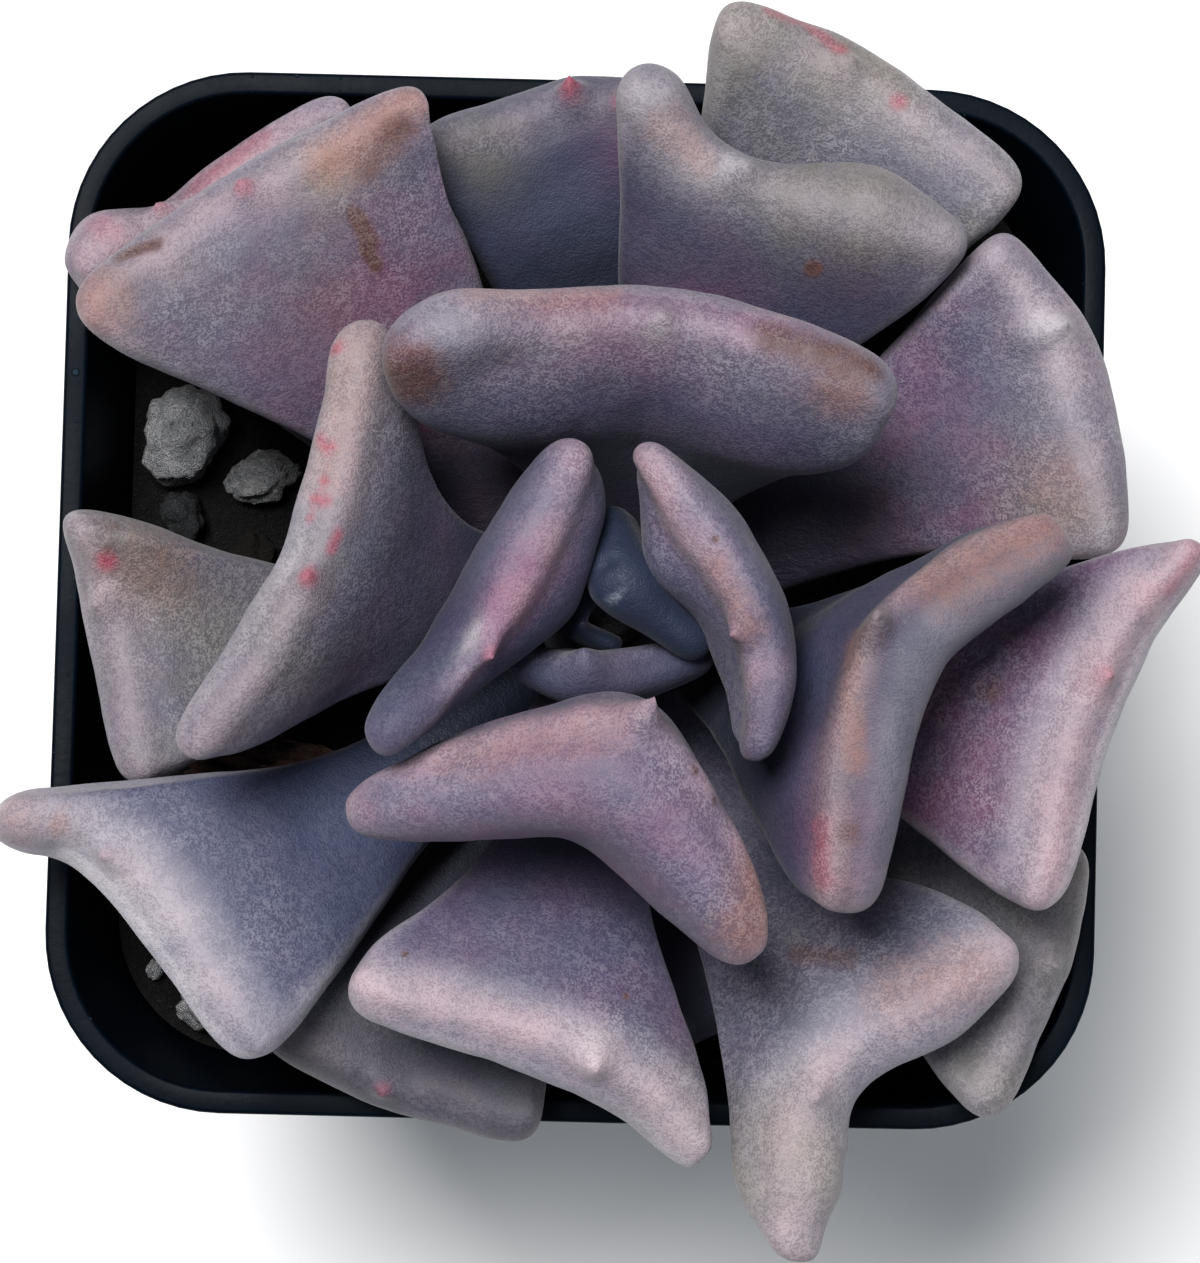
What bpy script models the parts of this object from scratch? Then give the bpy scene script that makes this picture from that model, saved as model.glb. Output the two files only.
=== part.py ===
"""Potted echeveria: a rosette of fleshy fishtail leaves on a short stem, in a square nursery pot of dark soil.

Blender 4.5, metres, +Z up. The origin is the centre of the pot's base, which rests on z = 0. +X is to the right
and +Y is away from the viewer, who looks down on the plant from just in front of it. Sizes below are in
millimetres and are turned into metres where a mesh is made.
"""

import math
from typing import NamedTuple

import bmesh
import bpy
from mathutils import Matrix, Vector, noise

MM = 0.001
GAP = 0.3  # clearance that pieces resting on each other keep

# Pot
POT_SIDE = 85.0
POT_BASE_SIDE = 60.0
POT_HEIGHT = 75.0
POT_CORNER = 14.5
POT_BASE_CORNER = 9.5
POT_WALL = 1.2
RIM_PROUD = 0.7  # how far the rim's band stands out from the wall below it
RIM_DEPTH = 7.0
RIM_BEVEL = 0.35
FOOT_BEVEL = 0.8
CORNER_STEPS = 6
DRAIN_RADIUS = 4.0
DRAIN_SIDES = 12
DRAIN_SPREAD = 17.0  # from the pot's middle along X and along Y
DRAIN_CUT_DEPTH = 6.0

# Soil
SOIL_LEVEL = 61.0
SOIL_ROUGHNESS = 1.6
SOIL_LUMP = 9.0  # width of one lump of the relief
SOIL_CRUMB = 3.5  # width of one crumb
CRUMB_SHARE = 0.45  # height of the crumbs as a share of the lumps' height
SOIL_RINGS = 9
SOIL_CORNER_STEPS = 4
SOIL_SIDE_STEPS = 6
STEM_HOLE_DEPTH = 22.0

# Stem
AXIS_X = 3.0
AXIS_Y = -2.0
STEM_RADIUS = 6.0
STEM_TIP_RADIUS = 2.2
STEM_TOP = 90.5
STEM_TAPER = 11.0  # length over which the top narrows
STEM_BEVEL = 0.8
STEM_BUD = 1.0  # height of the rounded tip
STEM_SIDES = 14

# Leaves: all grow from the stem in a spiral of the golden angle, the oldest lowest
FIRST_LEAF_HEIGHT = 64.5
RISE_PER_LEAF = 1.0
BASE_HALF_WIDTH = 3.3
BASE_THICK = 2.3
BASE_SHARE = 0.65  # half a base's width is at most this share of the stem's radius there
BASE_LEAN = 0.25  # how much nearer to the stem a steep base's upper edge lies, in thicknesses of the base
EDGE_THINNING = 0.40  # how much thinner a leaf is at its side edges than along its middle
FOLD_POWER = 1.35  # 1 is a sharp V fold across the leaf, 2 is a round one
WAIST_PLUMPNESS = 0.7  # how far the waist's thickness has grown from the base's to the margin's
MUCRO_LENGTH = 1.6
COLUMNS = (-1.0, -0.8, -0.4, 0.0, 0.4, 0.8, 1.0)
HORN_LENGTH = 2.4  # from the middle of a horn to its end
HORN_TAPER = 0.55  # width of a horn's end as a share of the horn's width
HORN_SPLAY = 0.8  # 1 lays a horn's width square to its arm, 0 along the leaf
HORN_BLUNTNESS = 0.5  # how much of the margin's overhang is lost towards its horns
MARGIN_BAND = 1.35  # width of the thick margin at its middle, in widths of a horn
MARGIN_REACH = 0.72  # most that the margin's width takes of the way from the margin to the waist
MARGIN_TAPER = 0.92  # thickness of the margin's outer edge as a share of its inner one's
LEVEL_RUN = 0.3  # how far a leaf leaves the stem level, as a share of its reach
LEVEL_LEAD = 1.0  # and what is added to that
EARLY_RISE = 0.22  # share of a leaf's rise that it has there
BOW_PLACE = 0.68  # where along the leaf its blade bows most
WAIST_PLACE = 0.5  # where along the leaf its waist is
WAIST_TURN = 0.6  # how far the waist has turned from the base's direction to the margin's


class Leaf(NamedTuple):
    """How one leaf grows; a point is its bearing in degrees, its reach from the stem's axis and its height."""

    turn: int  # place in the spiral
    bearing: float  # direction in which the leaf leaves the stem
    point: tuple  # small point at the middle of the margin's inner edge
    left: tuple  # middle of the left horn, as seen from the stem
    right: tuple  # middle of the right horn
    thick: float  # thickness of the margin
    horn: float  # width of a horn along the leaf
    blunt: float  # how far the margin's outer edge stands out past its inner one
    waist: float  # half the width at the waist as a share of the distance between the horns
    sway: float  # how far the waist lies to the left of the leaf's middle
    bow: float  # how far the blade bows towards its inner face
    ridge: float = 0.5  # where the margin's ridge lies, from 0.5 at the inner face to -0.5 at the outer one


LEAVES = (
    Leaf(0, 137, (140, 49.0, 78.5), (147, 50.5, 77.5), (121, 46.5, 77.5), 7.0, 7.0, 2.0, 0.28, 0.0, -2.0),
    Leaf(1, 278, (279, 34.0, 72.5), (285, 32.5, 71.5), (271, 35.0, 71.5), 5.5, 6.0, 1.5, 0.45, 0.0, -1.0),
    Leaf(2, 64, (69, 48.0, 83), (79, 47.0, 82), (50, 45.5, 81), 7.0, 8.5, 2.5, 0.30, 0.0, -2.0),
    Leaf(3, 181, (179, 40.5, 81), (198, 39.0, 80), (173, 42.0, 80.5), 7.0, 6.5, 2.5, 0.20, 1.0, -2.0),
    Leaf(4, 316, (323, 44.0, 81), (331, 40.0, 80), (309, 47.0, 80), 7.0, 8.0, 2.0, 0.28, 0.0, -2.0),
    Leaf(5, 97, (96, 42.0, 84), (112, 39.5, 82), (84, 41.0, 82), 7.0, 8.0, 1.0, 0.26, 0.0, -2.0),
    Leaf(6, 244, (245, 41.5, 82), (260, 39.5, 81), (234, 41.0, 81), 7.0, 8.0, 2.0, 0.28, 0.0, -2.0),
    Leaf(7, 28, (35, 41.0, 87), (43, 40.5, 85.5), (11, 38.5, 84.5), 7.0, 7.0, 2.5, 0.30, 0.0, -2.0),
    Leaf(9, 298, (292, 39.5, 90), (319, 39.5, 86), (287, 49.5, 87), 7.5, 8.5, 3.0, 0.20, 1.5, -2.0),
    Leaf(10, 68, (76, 35.0, 92), (87, 39.0, 90), (50, 38.5, 88), 7.5, 8.0, -0.5, 0.28, 0.0, -2.0),
    Leaf(11, 210, (206, 42.5, 89), (231, 42.5, 88), (201, 47.0, 87), 7.5, 6.5, 5.0, 0.17, 6.0, -2.0),
    Leaf(12, 347, (354, 36.5, 94), (6, 43.0, 93), (328, 38.5, 92), 7.5, 6.0, 3.0, 0.24, -3.0, -2.0),
    Leaf(13, 133, (133, 43.5, 92), (151, 45.5, 90), (113, 41.5, 90), 7.5, 8.5, 2.5, 0.28, 0.0, -2.0),
    Leaf(14, 261, (270, 34.0, 94), (279, 40.5, 90), (239, 34.5, 92), 7.5, 6.5, 3.0, 0.20, -1.5, -2.0),
    Leaf(16, 165, (179, 22.0, 101), (199, 33.0, 97.5), (137, 27.0, 96), 7.0, 6.0, 1.2, 0.22, 2.5, -2.0),
    Leaf(17, 338, (358, 17.0, 104), (8, 32.0, 99.5), (309, 27.5, 99.5), 9.5, 7.5, 5.0, 0.22, -3.0, -3.5),
    Leaf(18, 83, (82, 20.5, 104), (133, 23.5, 101.5), (39, 24.0, 99.5), 8.5, 14.5, -1.0, 0.40, 0.0, -1.0),
    Leaf(19, 252, (294, 7.5, 107), (290, 27.0, 101), (223, 24.5, 99), 11.5, 9.0, 2.0, 0.20, 0.0, -11.5),
    Leaf(20, 15, (343, 10.0, 107), (75, 9.5, 104), (316, 14.0, 104), 7.5, 8.0, 0.0, 0.20, 0.0, -3.3, 0.12),
    Leaf(21, 155, (213, 10.5, 107.5), (213, 19.0, 105.5), (113, 10.0, 104), 8.4, 8.0, -1.5, 0.26, 0.0, -2.2, 0.15),
    Leaf(22, 280, (241, 5.0, 98), (319, 6.5, 93.5), (223, 7.5, 95.5), 4.0, 5.5, 1.5, 0.20, 0.0, 0.8),
    Leaf(23, 64, (159, 1.5, 99), (92, 4.5, 97), (340, 5.1, 97), 3.6, 5.0, 1.0, 0.25, 0.0, 0.6),
    Leaf(24, 200, (215, 2.8, 96), (237, 3.0, 95), (188, 2.4, 95), 2.2, 3.0, 0.3, 0.30, 0.0, 0.0),
)


class Bit(NamedTuple):
    """A bit that lies on the soil: where it lies, its size and its turn about Z in degrees."""

    x: float
    y: float
    long: float
    wide: float
    high: float
    turn: float


PERLITE = (
    Bit(-33.7, 13.7, 8.4, 6.6, 5.0, 70),
    Bit(-27.1, 10.4, 6.2, 4.4, 3.6, 20),
    Bit(-33.6, 7.0, 4.4, 3.6, 3.0, 120),
    Bit(-30.6, -34.2, 4.4, 3.8, 3.2, 0),
    Bit(-34.8, -31.2, 1.8, 1.5, 1.3, 40),
    Bit(33.4, -33.4, 2.2, 1.8, 1.6, 15),
)
BARK = Bit(-28.6, 2.0, 8.0, 4.0, 2.4, 65)
DRY_LEAF = Bit(-26.5, -14.0, 12.0, 5.5, 3.0, -6)
SEAT_SHARE = 0.55  # radius of the level seat under a bit, in lengths of the bit
SEAT_SOFTENING = 2.5  # width of the band in which that seat blends into the rough soil
GRAIN_RELIEF = 0.28
GRAIN_LUMP = 0.62  # width of a lump of a grain in half-widths of the grain
GRAIN_SOLE = 0.62  # how far below its middle a grain is cut level, in half-heights
FINE_GRAIN = 3.0  # length above which a grain gets the finer mesh

# Root fibre, from the front left corner towards the right, as points over the soil
FIBRE_POINTS = ((-28.0, -35.6), (-26.4, -36.3), (-24.4, -36.0), (-22.4, -36.8), (-20.4, -36.4))
FIBRE_RADIUS = 0.45
FIBRE_LIFT = 0.5  # keeps the fibre clear of the crumbs between its points
FIBRE_SIDES = 6

# Finishes: linear colour and roughness
FINISHES = {
    "pot_plastic": ((0.012, 0.020, 0.030), 0.45),
    "peat": ((0.020, 0.016, 0.014), 0.95),
    "stem_bark": ((0.22, 0.17, 0.12), 0.80),
    "leaf_flesh": ((0.26, 0.22, 0.28), 0.60),
    "perlite": ((0.55, 0.56, 0.57), 0.90),
    "bark": ((0.08, 0.055, 0.04), 0.90),
    "withered_leaf": ((0.30, 0.19, 0.15), 0.80),
    "fibre": ((0.45, 0.38, 0.28), 0.80),
}


def new_object(name, bm, material, smooth_angle=None):
    """Turn a bmesh in millimetres into an object of the scene, in metres."""
    bmesh.ops.recalc_face_normals(bm, faces=bm.faces)
    bmesh.ops.scale(bm, vec=(MM, MM, MM), verts=bm.verts)
    mesh = bpy.data.meshes.new(name)
    bm.to_mesh(mesh)
    bm.free()
    obj = bpy.data.objects.new(name, mesh)
    bpy.context.collection.objects.link(obj)
    mesh.materials.append(material)
    if smooth_angle is not None:
        mesh.shade_smooth()
        mesh.set_sharp_from_angle(angle=math.radians(smooth_angle))
    return obj


def finish(name):
    """Make one of the plain finishes."""
    colour, roughness = FINISHES[name]
    material = bpy.data.materials.new(name)
    material.use_nodes = True
    shader = material.node_tree.nodes["Principled BSDF"]
    shader.inputs["Base Color"].default_value = (*colour, 1.0)
    shader.inputs["Roughness"].default_value = roughness
    shader.inputs["Metallic"].default_value = 0.0
    return material


def rounded_square(side, corner, z, steps=CORNER_STEPS, side_steps=0):
    """Points of a square with round corners, anticlockwise from the right-hand side, at height z."""
    points = []
    centre = side / 2 - corner
    for quarter in range(4):
        turn = Matrix.Rotation(math.radians(90) * quarter, 3, "Z")
        for step in range(steps + 1):
            angle = math.radians(90) * step / steps
            point = Vector((centre + corner * math.cos(angle), centre + corner * math.sin(angle), z))
            points.append(turn @ point)
        for step in range(1, side_steps + 1):
            along = centre * (1 - 2 * step / (side_steps + 1))
            points.append(turn @ Vector((along, side / 2, z)))
    return points


def loft(bm, rings):
    """Join rings of equal length with quads, and fill the first and the last ring."""
    loops = [[bm.verts.new(point) for point in ring] for ring in rings]
    for lower, upper in zip(loops, loops[1:]):
        for i in range(len(lower)):
            j = (i + 1) % len(lower)
            bm.faces.new((lower[i], lower[j], upper[j], upper[i]))
    bm.faces.new(list(reversed(loops[0])))
    bm.faces.new(loops[-1])


def pot_side_at(z):
    """Outer side and corner radius of the pot's wall at height z, without the rim's band."""
    part = z / POT_HEIGHT
    wall_top_side = POT_SIDE - 2 * RIM_PROUD
    side = POT_BASE_SIDE + (wall_top_side - POT_BASE_SIDE) * part
    corner = POT_BASE_CORNER + (POT_CORNER - RIM_PROUD - POT_BASE_CORNER) * part
    return side, corner


def pot_ring(z, inset=0.0):
    """Outline of the pot's wall at height z, moved inwards by inset."""
    side, corner = pot_side_at(z)
    return rounded_square(side - 2 * inset, corner - inset, z)


def build_pot(material):
    """Tapered shell with a rim band and four drain holes."""
    bm = bmesh.new()
    band_foot = POT_HEIGHT - RIM_DEPTH
    loft(bm, (
        pot_ring(0.0, inset=FOOT_BEVEL),
        pot_ring(FOOT_BEVEL),
        pot_ring(band_foot),
        pot_ring(band_foot + RIM_PROUD, inset=-RIM_PROUD),
        rounded_square(POT_SIDE, POT_CORNER, POT_HEIGHT - RIM_BEVEL),
        rounded_square(POT_SIDE - 2 * RIM_BEVEL, POT_CORNER - RIM_BEVEL, POT_HEIGHT),
        pot_ring(POT_HEIGHT, inset=POT_WALL - RIM_BEVEL),
        pot_ring(POT_HEIGHT - RIM_BEVEL, inset=POT_WALL),
        pot_ring(POT_WALL, inset=POT_WALL),
    ))
    pot = new_object("pot", bm, material, smooth_angle=35)
    for index, (sign_x, sign_y) in enumerate(((1, 1), (-1, 1), (-1, -1), (1, -1))):
        cut_drain_hole(pot, index, sign_x * DRAIN_SPREAD, sign_y * DRAIN_SPREAD)
    return pot


def cut_drain_hole(pot, index, x, y):
    """Cut one round hole through the pot's base."""
    bm = bmesh.new()
    bmesh.ops.create_cone(
        bm, cap_ends=True, segments=DRAIN_SIDES, radius1=DRAIN_RADIUS, radius2=DRAIN_RADIUS, depth=DRAIN_CUT_DEPTH
    )
    bmesh.ops.translate(bm, vec=(x, y, 0.0), verts=bm.verts)
    cutter = new_object(f"drain_cutter_{index}", bm, pot.data.materials[0])
    cutter.hide_render = True
    cutter.display_type = "WIRE"
    cut = pot.modifiers.new(f"drain_{index}", "BOOLEAN")
    cut.object = cutter
    cut.operation = "DIFFERENCE"


def seat_blend(x, y, bit):
    """1 on a bit's level seat, 0 on the open soil, with a soft band between."""
    distance = math.hypot(x - bit.x, y - bit.y) - bit.long * SEAT_SHARE
    part = min(1.0, max(0.0, 1.0 - distance / SEAT_SOFTENING))
    return part * part * (3 - 2 * part)


def soil_height(x, y):
    """Height of the soil's rough surface, which is level under each bit that lies on it."""
    lump = noise.noise(Vector((x / SOIL_LUMP, y / SOIL_LUMP, 1.7)))
    crumb = noise.noise(Vector((x / SOIL_CRUMB, y / SOIL_CRUMB, 8.1)))
    rough = SOIL_ROUGHNESS * (lump + CRUMB_SHARE * crumb)
    for bit in (*PERLITE, BARK, DRY_LEAF):
        rough *= 1.0 - seat_blend(x, y, bit)
    return SOIL_LEVEL + rough


def soil_ring(part):
    """One ring of the soil's surface, from the stem's hole (part 0) to the pot's wall (part 1)."""
    hole = STEM_RADIUS + GAP
    side, corner = pot_side_at(SOIL_LEVEL)
    wall = POT_WALL + GAP
    edge = rounded_square(side - 2 * wall, corner - wall, 0.0, SOIL_CORNER_STEPS, SOIL_SIDE_STEPS)
    points = []
    for outer in edge:
        away = Vector((outer.x - AXIS_X, outer.y - AXIS_Y, 0.0)).normalized()
        inner = Vector((AXIS_X, AXIS_Y, 0.0)) + away * hole
        point = inner.lerp(outer, part)
        level = soil_height(point.x, point.y) if 0.0 < part < 1.0 else SOIL_LEVEL
        points.append(Vector((point.x, point.y, level)))
    return points


def build_soil(material):
    """Plug of soil that fits the pot, with a rough top and a blind hole for the stem."""
    bm = bmesh.new()
    wall = POT_WALL + GAP
    side, corner = pot_side_at(wall)
    bottom = rounded_square(side - 2 * wall, corner - wall, wall, SOIL_CORNER_STEPS, SOIL_SIDE_STEPS)
    top = [soil_ring(1.0 - ring / SOIL_RINGS) for ring in range(SOIL_RINGS + 1)]
    hole_floor = [Vector((point.x, point.y, SOIL_LEVEL - STEM_HOLE_DEPTH)) for point in top[-1]]
    loft(bm, (bottom, *top, hole_floor))
    return new_object("soil", bm, material)


def build_stem(material):
    """Short round stem that stands in the soil's hole and narrows to the growing tip."""
    bm = bmesh.new()
    foot = SOIL_LEVEL - STEM_HOLE_DEPTH + GAP
    shoulder = STEM_TOP - STEM_TAPER
    profile = (
        (foot, STEM_RADIUS - STEM_BEVEL),
        (foot + STEM_BEVEL, STEM_RADIUS),
        (SOIL_LEVEL, STEM_RADIUS),
        (shoulder, STEM_RADIUS),
        (shoulder + STEM_TAPER / 2, (STEM_RADIUS + STEM_TIP_RADIUS) / 2),
        (STEM_TOP - STEM_BUD, STEM_TIP_RADIUS),
        (STEM_TOP, STEM_TIP_RADIUS / 2),
    )
    rings = []
    for height, radius in profile:
        ring = []
        for side in range(STEM_SIDES):
            angle = math.tau * side / STEM_SIDES
            ring.append(Vector((AXIS_X + radius * math.cos(angle), AXIS_Y + radius * math.sin(angle), height)))
        rings.append(ring)
    loft(bm, rings)
    return new_object("stem", bm, material, smooth_angle=40)


def stem_radius_at(z):
    """Radius of the stem at height z."""
    shoulder = STEM_TOP - STEM_TAPER
    part = min(1.0, max(0.0, (z - shoulder) / (STEM_TAPER - STEM_BUD)))
    return STEM_RADIUS + (STEM_TIP_RADIUS - STEM_RADIUS) * part


def about_axis(bearing, reach, height):
    """Point at a bearing in degrees, a reach from the stem's axis and a height."""
    angle = math.radians(bearing)
    return Vector((AXIS_X + reach * math.cos(angle), AXIS_Y + reach * math.sin(angle), height))


def bezier(a, b, c, d, u):
    """Point of a cubic curve."""
    v = 1.0 - u
    return a * v ** 3 + b * 3 * v * v * u + c * 3 * v * u * u + d * u ** 3


def leaf_rows(leaf):
    """Rows of a leaf's middle surface from the stem out: centre, left edge, right edge and thickness."""
    height = FIRST_LEAF_HEIGHT + RISE_PER_LEAF * leaf.turn
    outward = about_axis(leaf.bearing, 1.0, 0.0) - about_axis(leaf.bearing, 0.0, 0.0)
    leftward = Vector((-outward.y, outward.x, 0.0))
    tip = about_axis(*leaf.point)
    stem = stem_radius_at(height - BASE_THICK / 2)
    base_half = min(BASE_HALF_WIDTH, stem * BASE_SHARE)
    base_thick = BASE_THICK * base_half / BASE_HALF_WIDTH
    rise = tip - about_axis(leaf.bearing, stem, height)
    lean = rise.normalized().z * base_thick * BASE_LEAN
    root = about_axis(leaf.bearing, stem + GAP + lean, height)
    left = about_axis(*leaf.left)
    right = about_axis(*leaf.right)
    adaxial = (right - left).cross(tip - root).normalized()
    tip = tip - adaxial * leaf.thick * leaf.ridge
    chord = left - right
    run = tip - root
    level_run = math.hypot(run.x, run.y) * LEVEL_RUN + LEVEL_LEAD
    first = root + outward * level_run + Vector((0.0, 0.0, run.z * EARLY_RISE))
    last = root.lerp(tip, BOW_PLACE) + adaxial * leaf.bow
    waist = bezier(root, first, last, tip, WAIST_PLACE) + chord.normalized() * leaf.sway
    waist_half = max(base_half, chord.length * leaf.waist)
    waist_side = leftward.lerp(chord.normalized(), WAIST_TURN).normalized() * waist_half
    waist_thick = base_thick + (leaf.thick - base_thick) * WAIST_PLUMPNESS
    inward = (waist - tip).normalized()
    band = min(leaf.horn * MARGIN_BAND, (waist - tip).length * MARGIN_REACH)
    rows = [
        (root, root + leftward * base_half, root - leftward * base_half, base_thick),
        (waist, waist + waist_side, waist - waist_side, waist_thick),
    ]
    for share, thickness in ((1.0, 1.0), (0.0, MARGIN_TAPER)):
        ends = []
        for horn in (left, right):
            arm = (horn - tip).normalized()
            back = (inward - arm * inward.dot(arm) * HORN_SPLAY).normalized()
            ends.append(horn + arm * HORN_LENGTH + back * leaf.horn * (share - 0.5))
        rows.append((tip + inward * band * share, *ends, leaf.thick * thickness))
    return rows


def leaf_surface(rows):
    """Grid of points of a leaf's middle surface, one line for each row and one point for each column."""
    surface = []
    for centre, left, right, _ in rows:
        half = (right - left) / 2
        fold = (left + right) / 2 - centre
        surface.append([centre + half * v + fold * abs(v) ** FOLD_POWER for v in COLUMNS])
    for end in (0, -1):
        middle = (surface[-2][end] + surface[-1][end]) / 2
        for line in surface[-2:]:
            line[end] = middle + (line[end] - middle) * HORN_TAPER
    return surface


def leaf_layer(bm, leaf, rows, surface, side):
    """Cage vertices of the inner face (side 0.5) or of the outer face (side -0.5) of a leaf."""
    last_row = len(rows) - 1
    last_column = len(COLUMNS) - 1
    layer = []
    for i, row in enumerate(surface):
        line = []
        for j, point in enumerate(row):
            along = surface[min(i + 1, last_row)][j] - surface[max(i - 1, 0)][j]
            across = row[min(j + 1, last_column)] - row[max(j - 1, 0)]
            normal = across.cross(along).normalized()
            aside = abs(COLUMNS[j])
            depth = leaf.ridge if side > 0 and i == last_row else side
            place = point + normal * depth * rows[i][3] * (1.0 - EDGE_THINNING * aside ** 2)
            if side < 0 and i == last_row:
                outward = (point - surface[i - 1][j]).normalized()
                place += outward * leaf.blunt * (1.0 - HORN_BLUNTNESS * aside)
            line.append(bm.verts.new(place))
        layer.append(line)
    return layer


def crease_border(bm, faces):
    """Keep the border of some faces sharp, so that smoothing leaves them flat."""
    crease = bm.edges.layers.float.new("crease_edge")
    inside = set(faces)
    for face in faces:
        for edge in face.edges:
            if not all(other in inside for other in edge.link_faces):
                edge[crease] = 1.0


def leaf_cage(leaf):
    """Closed cage of quads round a leaf's middle surface, to be smoothed by subdivision."""
    rows = leaf_rows(leaf)
    surface = leaf_surface(rows)
    middle = len(COLUMNS) // 2
    bm = bmesh.new()
    top = leaf_layer(bm, leaf, rows, surface, 0.5)
    bottom = leaf_layer(bm, leaf, rows, surface, -0.5)
    top[-1][middle].co += (surface[-1][middle] - surface[-2][middle]).normalized() * MUCRO_LENGTH
    for i in range(len(rows) - 1):
        for j in range(len(COLUMNS) - 1):
            bm.faces.new((top[i][j], top[i][j + 1], top[i + 1][j + 1], top[i + 1][j]))
            bm.faces.new((bottom[i][j], bottom[i + 1][j], bottom[i + 1][j + 1], bottom[i][j + 1]))
        bm.faces.new((top[i][0], top[i + 1][0], bottom[i + 1][0], bottom[i][0]))
        bm.faces.new((top[i][-1], bottom[i][-1], bottom[i + 1][-1], top[i + 1][-1]))
    base_faces = []
    for j in range(len(COLUMNS) - 1):
        base_faces.append(bm.faces.new((top[0][j], bottom[0][j], bottom[0][j + 1], top[0][j + 1])))
        bm.faces.new((top[-1][j], top[-1][j + 1], bottom[-1][j + 1], bottom[-1][j]))
    crease_border(bm, base_faces)
    return bm


def build_leaf(number, leaf, material):
    """One leaf as its own closed solid."""
    obj = new_object(f"leaf_{number:02d}", leaf_cage(leaf), material)
    obj.data.shade_smooth()
    smooth = obj.modifiers.new("smooth", "SUBSURF")
    smooth.levels = 1
    smooth.render_levels = 1
    return obj


def build_grain(name, bit, seed, material):
    """Rough angular grain with a level underside, just clear of the soil."""
    bm = bmesh.new()
    bmesh.ops.create_icosphere(bm, subdivisions=2 if bit.long > FINE_GRAIN else 1, radius=1.0)
    for vert in bm.verts:
        vert.co *= 1.0 + GRAIN_RELIEF * noise.noise(vert.co / GRAIN_LUMP + Vector((seed, 0.0, 0.0)))
        vert.co.z = max(vert.co.z, -GRAIN_SOLE)
    bmesh.ops.scale(bm, vec=(bit.long / 2, bit.wide / 2, bit.high / (1.0 + GRAIN_SOLE)), verts=bm.verts)
    bmesh.ops.rotate(bm, matrix=Matrix.Rotation(math.radians(bit.turn), 3, "Z"), verts=bm.verts)
    lowest = min(vert.co.z for vert in bm.verts)
    bmesh.ops.translate(bm, vec=(bit.x, bit.y, SOIL_LEVEL + GAP - lowest), verts=bm.verts)
    return new_object(name, bm, material)


def build_fibre(material):
    """Thin fibre laid over the soil, as a tube of few sides."""
    bm = bmesh.new()
    rings = []
    points = [Vector((x, y, 0.0)) for x, y in FIBRE_POINTS]
    for i, point in enumerate(points):
        along = (points[min(i + 1, len(points) - 1)] - points[max(i - 1, 0)]).normalized()
        across = Vector((-along.y, along.x, 0.0))
        level = soil_height(point.x, point.y) + GAP + FIBRE_RADIUS + FIBRE_LIFT
        ring = []
        for side in range(FIBRE_SIDES):
            angle = math.tau * side / FIBRE_SIDES
            offset = across * math.cos(angle) + Vector((0, 0, 1)) * math.sin(angle)
            ring.append(Vector((point.x, point.y, level)) + offset * FIBRE_RADIUS)
        rings.append(ring)
    loft(bm, rings)
    return new_object("root_fibre", bm, material)


def main():
    for obj in list(bpy.data.objects):
        bpy.data.objects.remove(obj)
    build_pot(finish("pot_plastic"))
    build_soil(finish("peat"))
    build_stem(finish("stem_bark"))
    flesh = finish("leaf_flesh")
    for number, leaf in enumerate(LEAVES, start=1):
        build_leaf(number, leaf, flesh)
    white = finish("perlite")
    for number, bit in enumerate(PERLITE, start=1):
        build_grain(f"perlite_{number}", bit, number, white)
    build_grain("bark_chip", BARK, 11, finish("bark"))
    build_grain("dry_leaf", DRY_LEAF, 17, finish("withered_leaf"))
    build_fibre(finish("fibre"))


main()
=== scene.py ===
"""Potted echeveria: the visual model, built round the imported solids.

Lengths are millimetres unless a comment says otherwise. Points are in the part's own frame: the origin is the
centre of the pot's base, +Z is up, +X is to the right and +Y is away from the viewer, who looks down on the
rosette. Every mesh is made in millimetres and turned into metres when it becomes a piece.
"""

import logging
import math
import random
from dataclasses import dataclass, field, replace
from enum import Enum

import bmesh
import bpy
import numpy as np
from bmesh.types import BMesh, BMFace
from bpy.types import Material, Mesh, Node, NodeSocket, NodeTree
from mathutils import Matrix, Vector, noise

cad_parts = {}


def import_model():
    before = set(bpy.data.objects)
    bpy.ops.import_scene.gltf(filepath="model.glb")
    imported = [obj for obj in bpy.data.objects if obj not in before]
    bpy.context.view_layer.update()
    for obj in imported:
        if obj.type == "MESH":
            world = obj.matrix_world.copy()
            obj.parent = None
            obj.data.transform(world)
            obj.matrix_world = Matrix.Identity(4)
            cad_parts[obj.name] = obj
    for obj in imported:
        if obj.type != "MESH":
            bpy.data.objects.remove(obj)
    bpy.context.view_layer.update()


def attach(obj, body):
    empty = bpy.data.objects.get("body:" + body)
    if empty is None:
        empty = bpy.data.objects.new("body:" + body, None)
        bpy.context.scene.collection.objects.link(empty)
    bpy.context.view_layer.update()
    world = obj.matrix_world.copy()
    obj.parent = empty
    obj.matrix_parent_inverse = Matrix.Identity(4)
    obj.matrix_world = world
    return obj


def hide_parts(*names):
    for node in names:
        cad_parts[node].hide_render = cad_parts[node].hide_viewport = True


log = logging.getLogger("potted_echeveria")

MM = 0.001
BODY = "root"
GAP = 0.3  # clearance between neighbouring solids

Colour = tuple[float, float, float]
Spot = tuple[float, float, float]


def shade(code: str) -> Colour:
    """Turn six hexadecimal sRGB digits into linear red, green and blue."""
    values = [int(code[i:i + 2], 16) / 255 for i in (0, 2, 4)]
    return tuple(v / 12.92 if v <= 0.04045 else ((v + 0.055) / 1.055) ** 2.4 for v in values)


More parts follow.
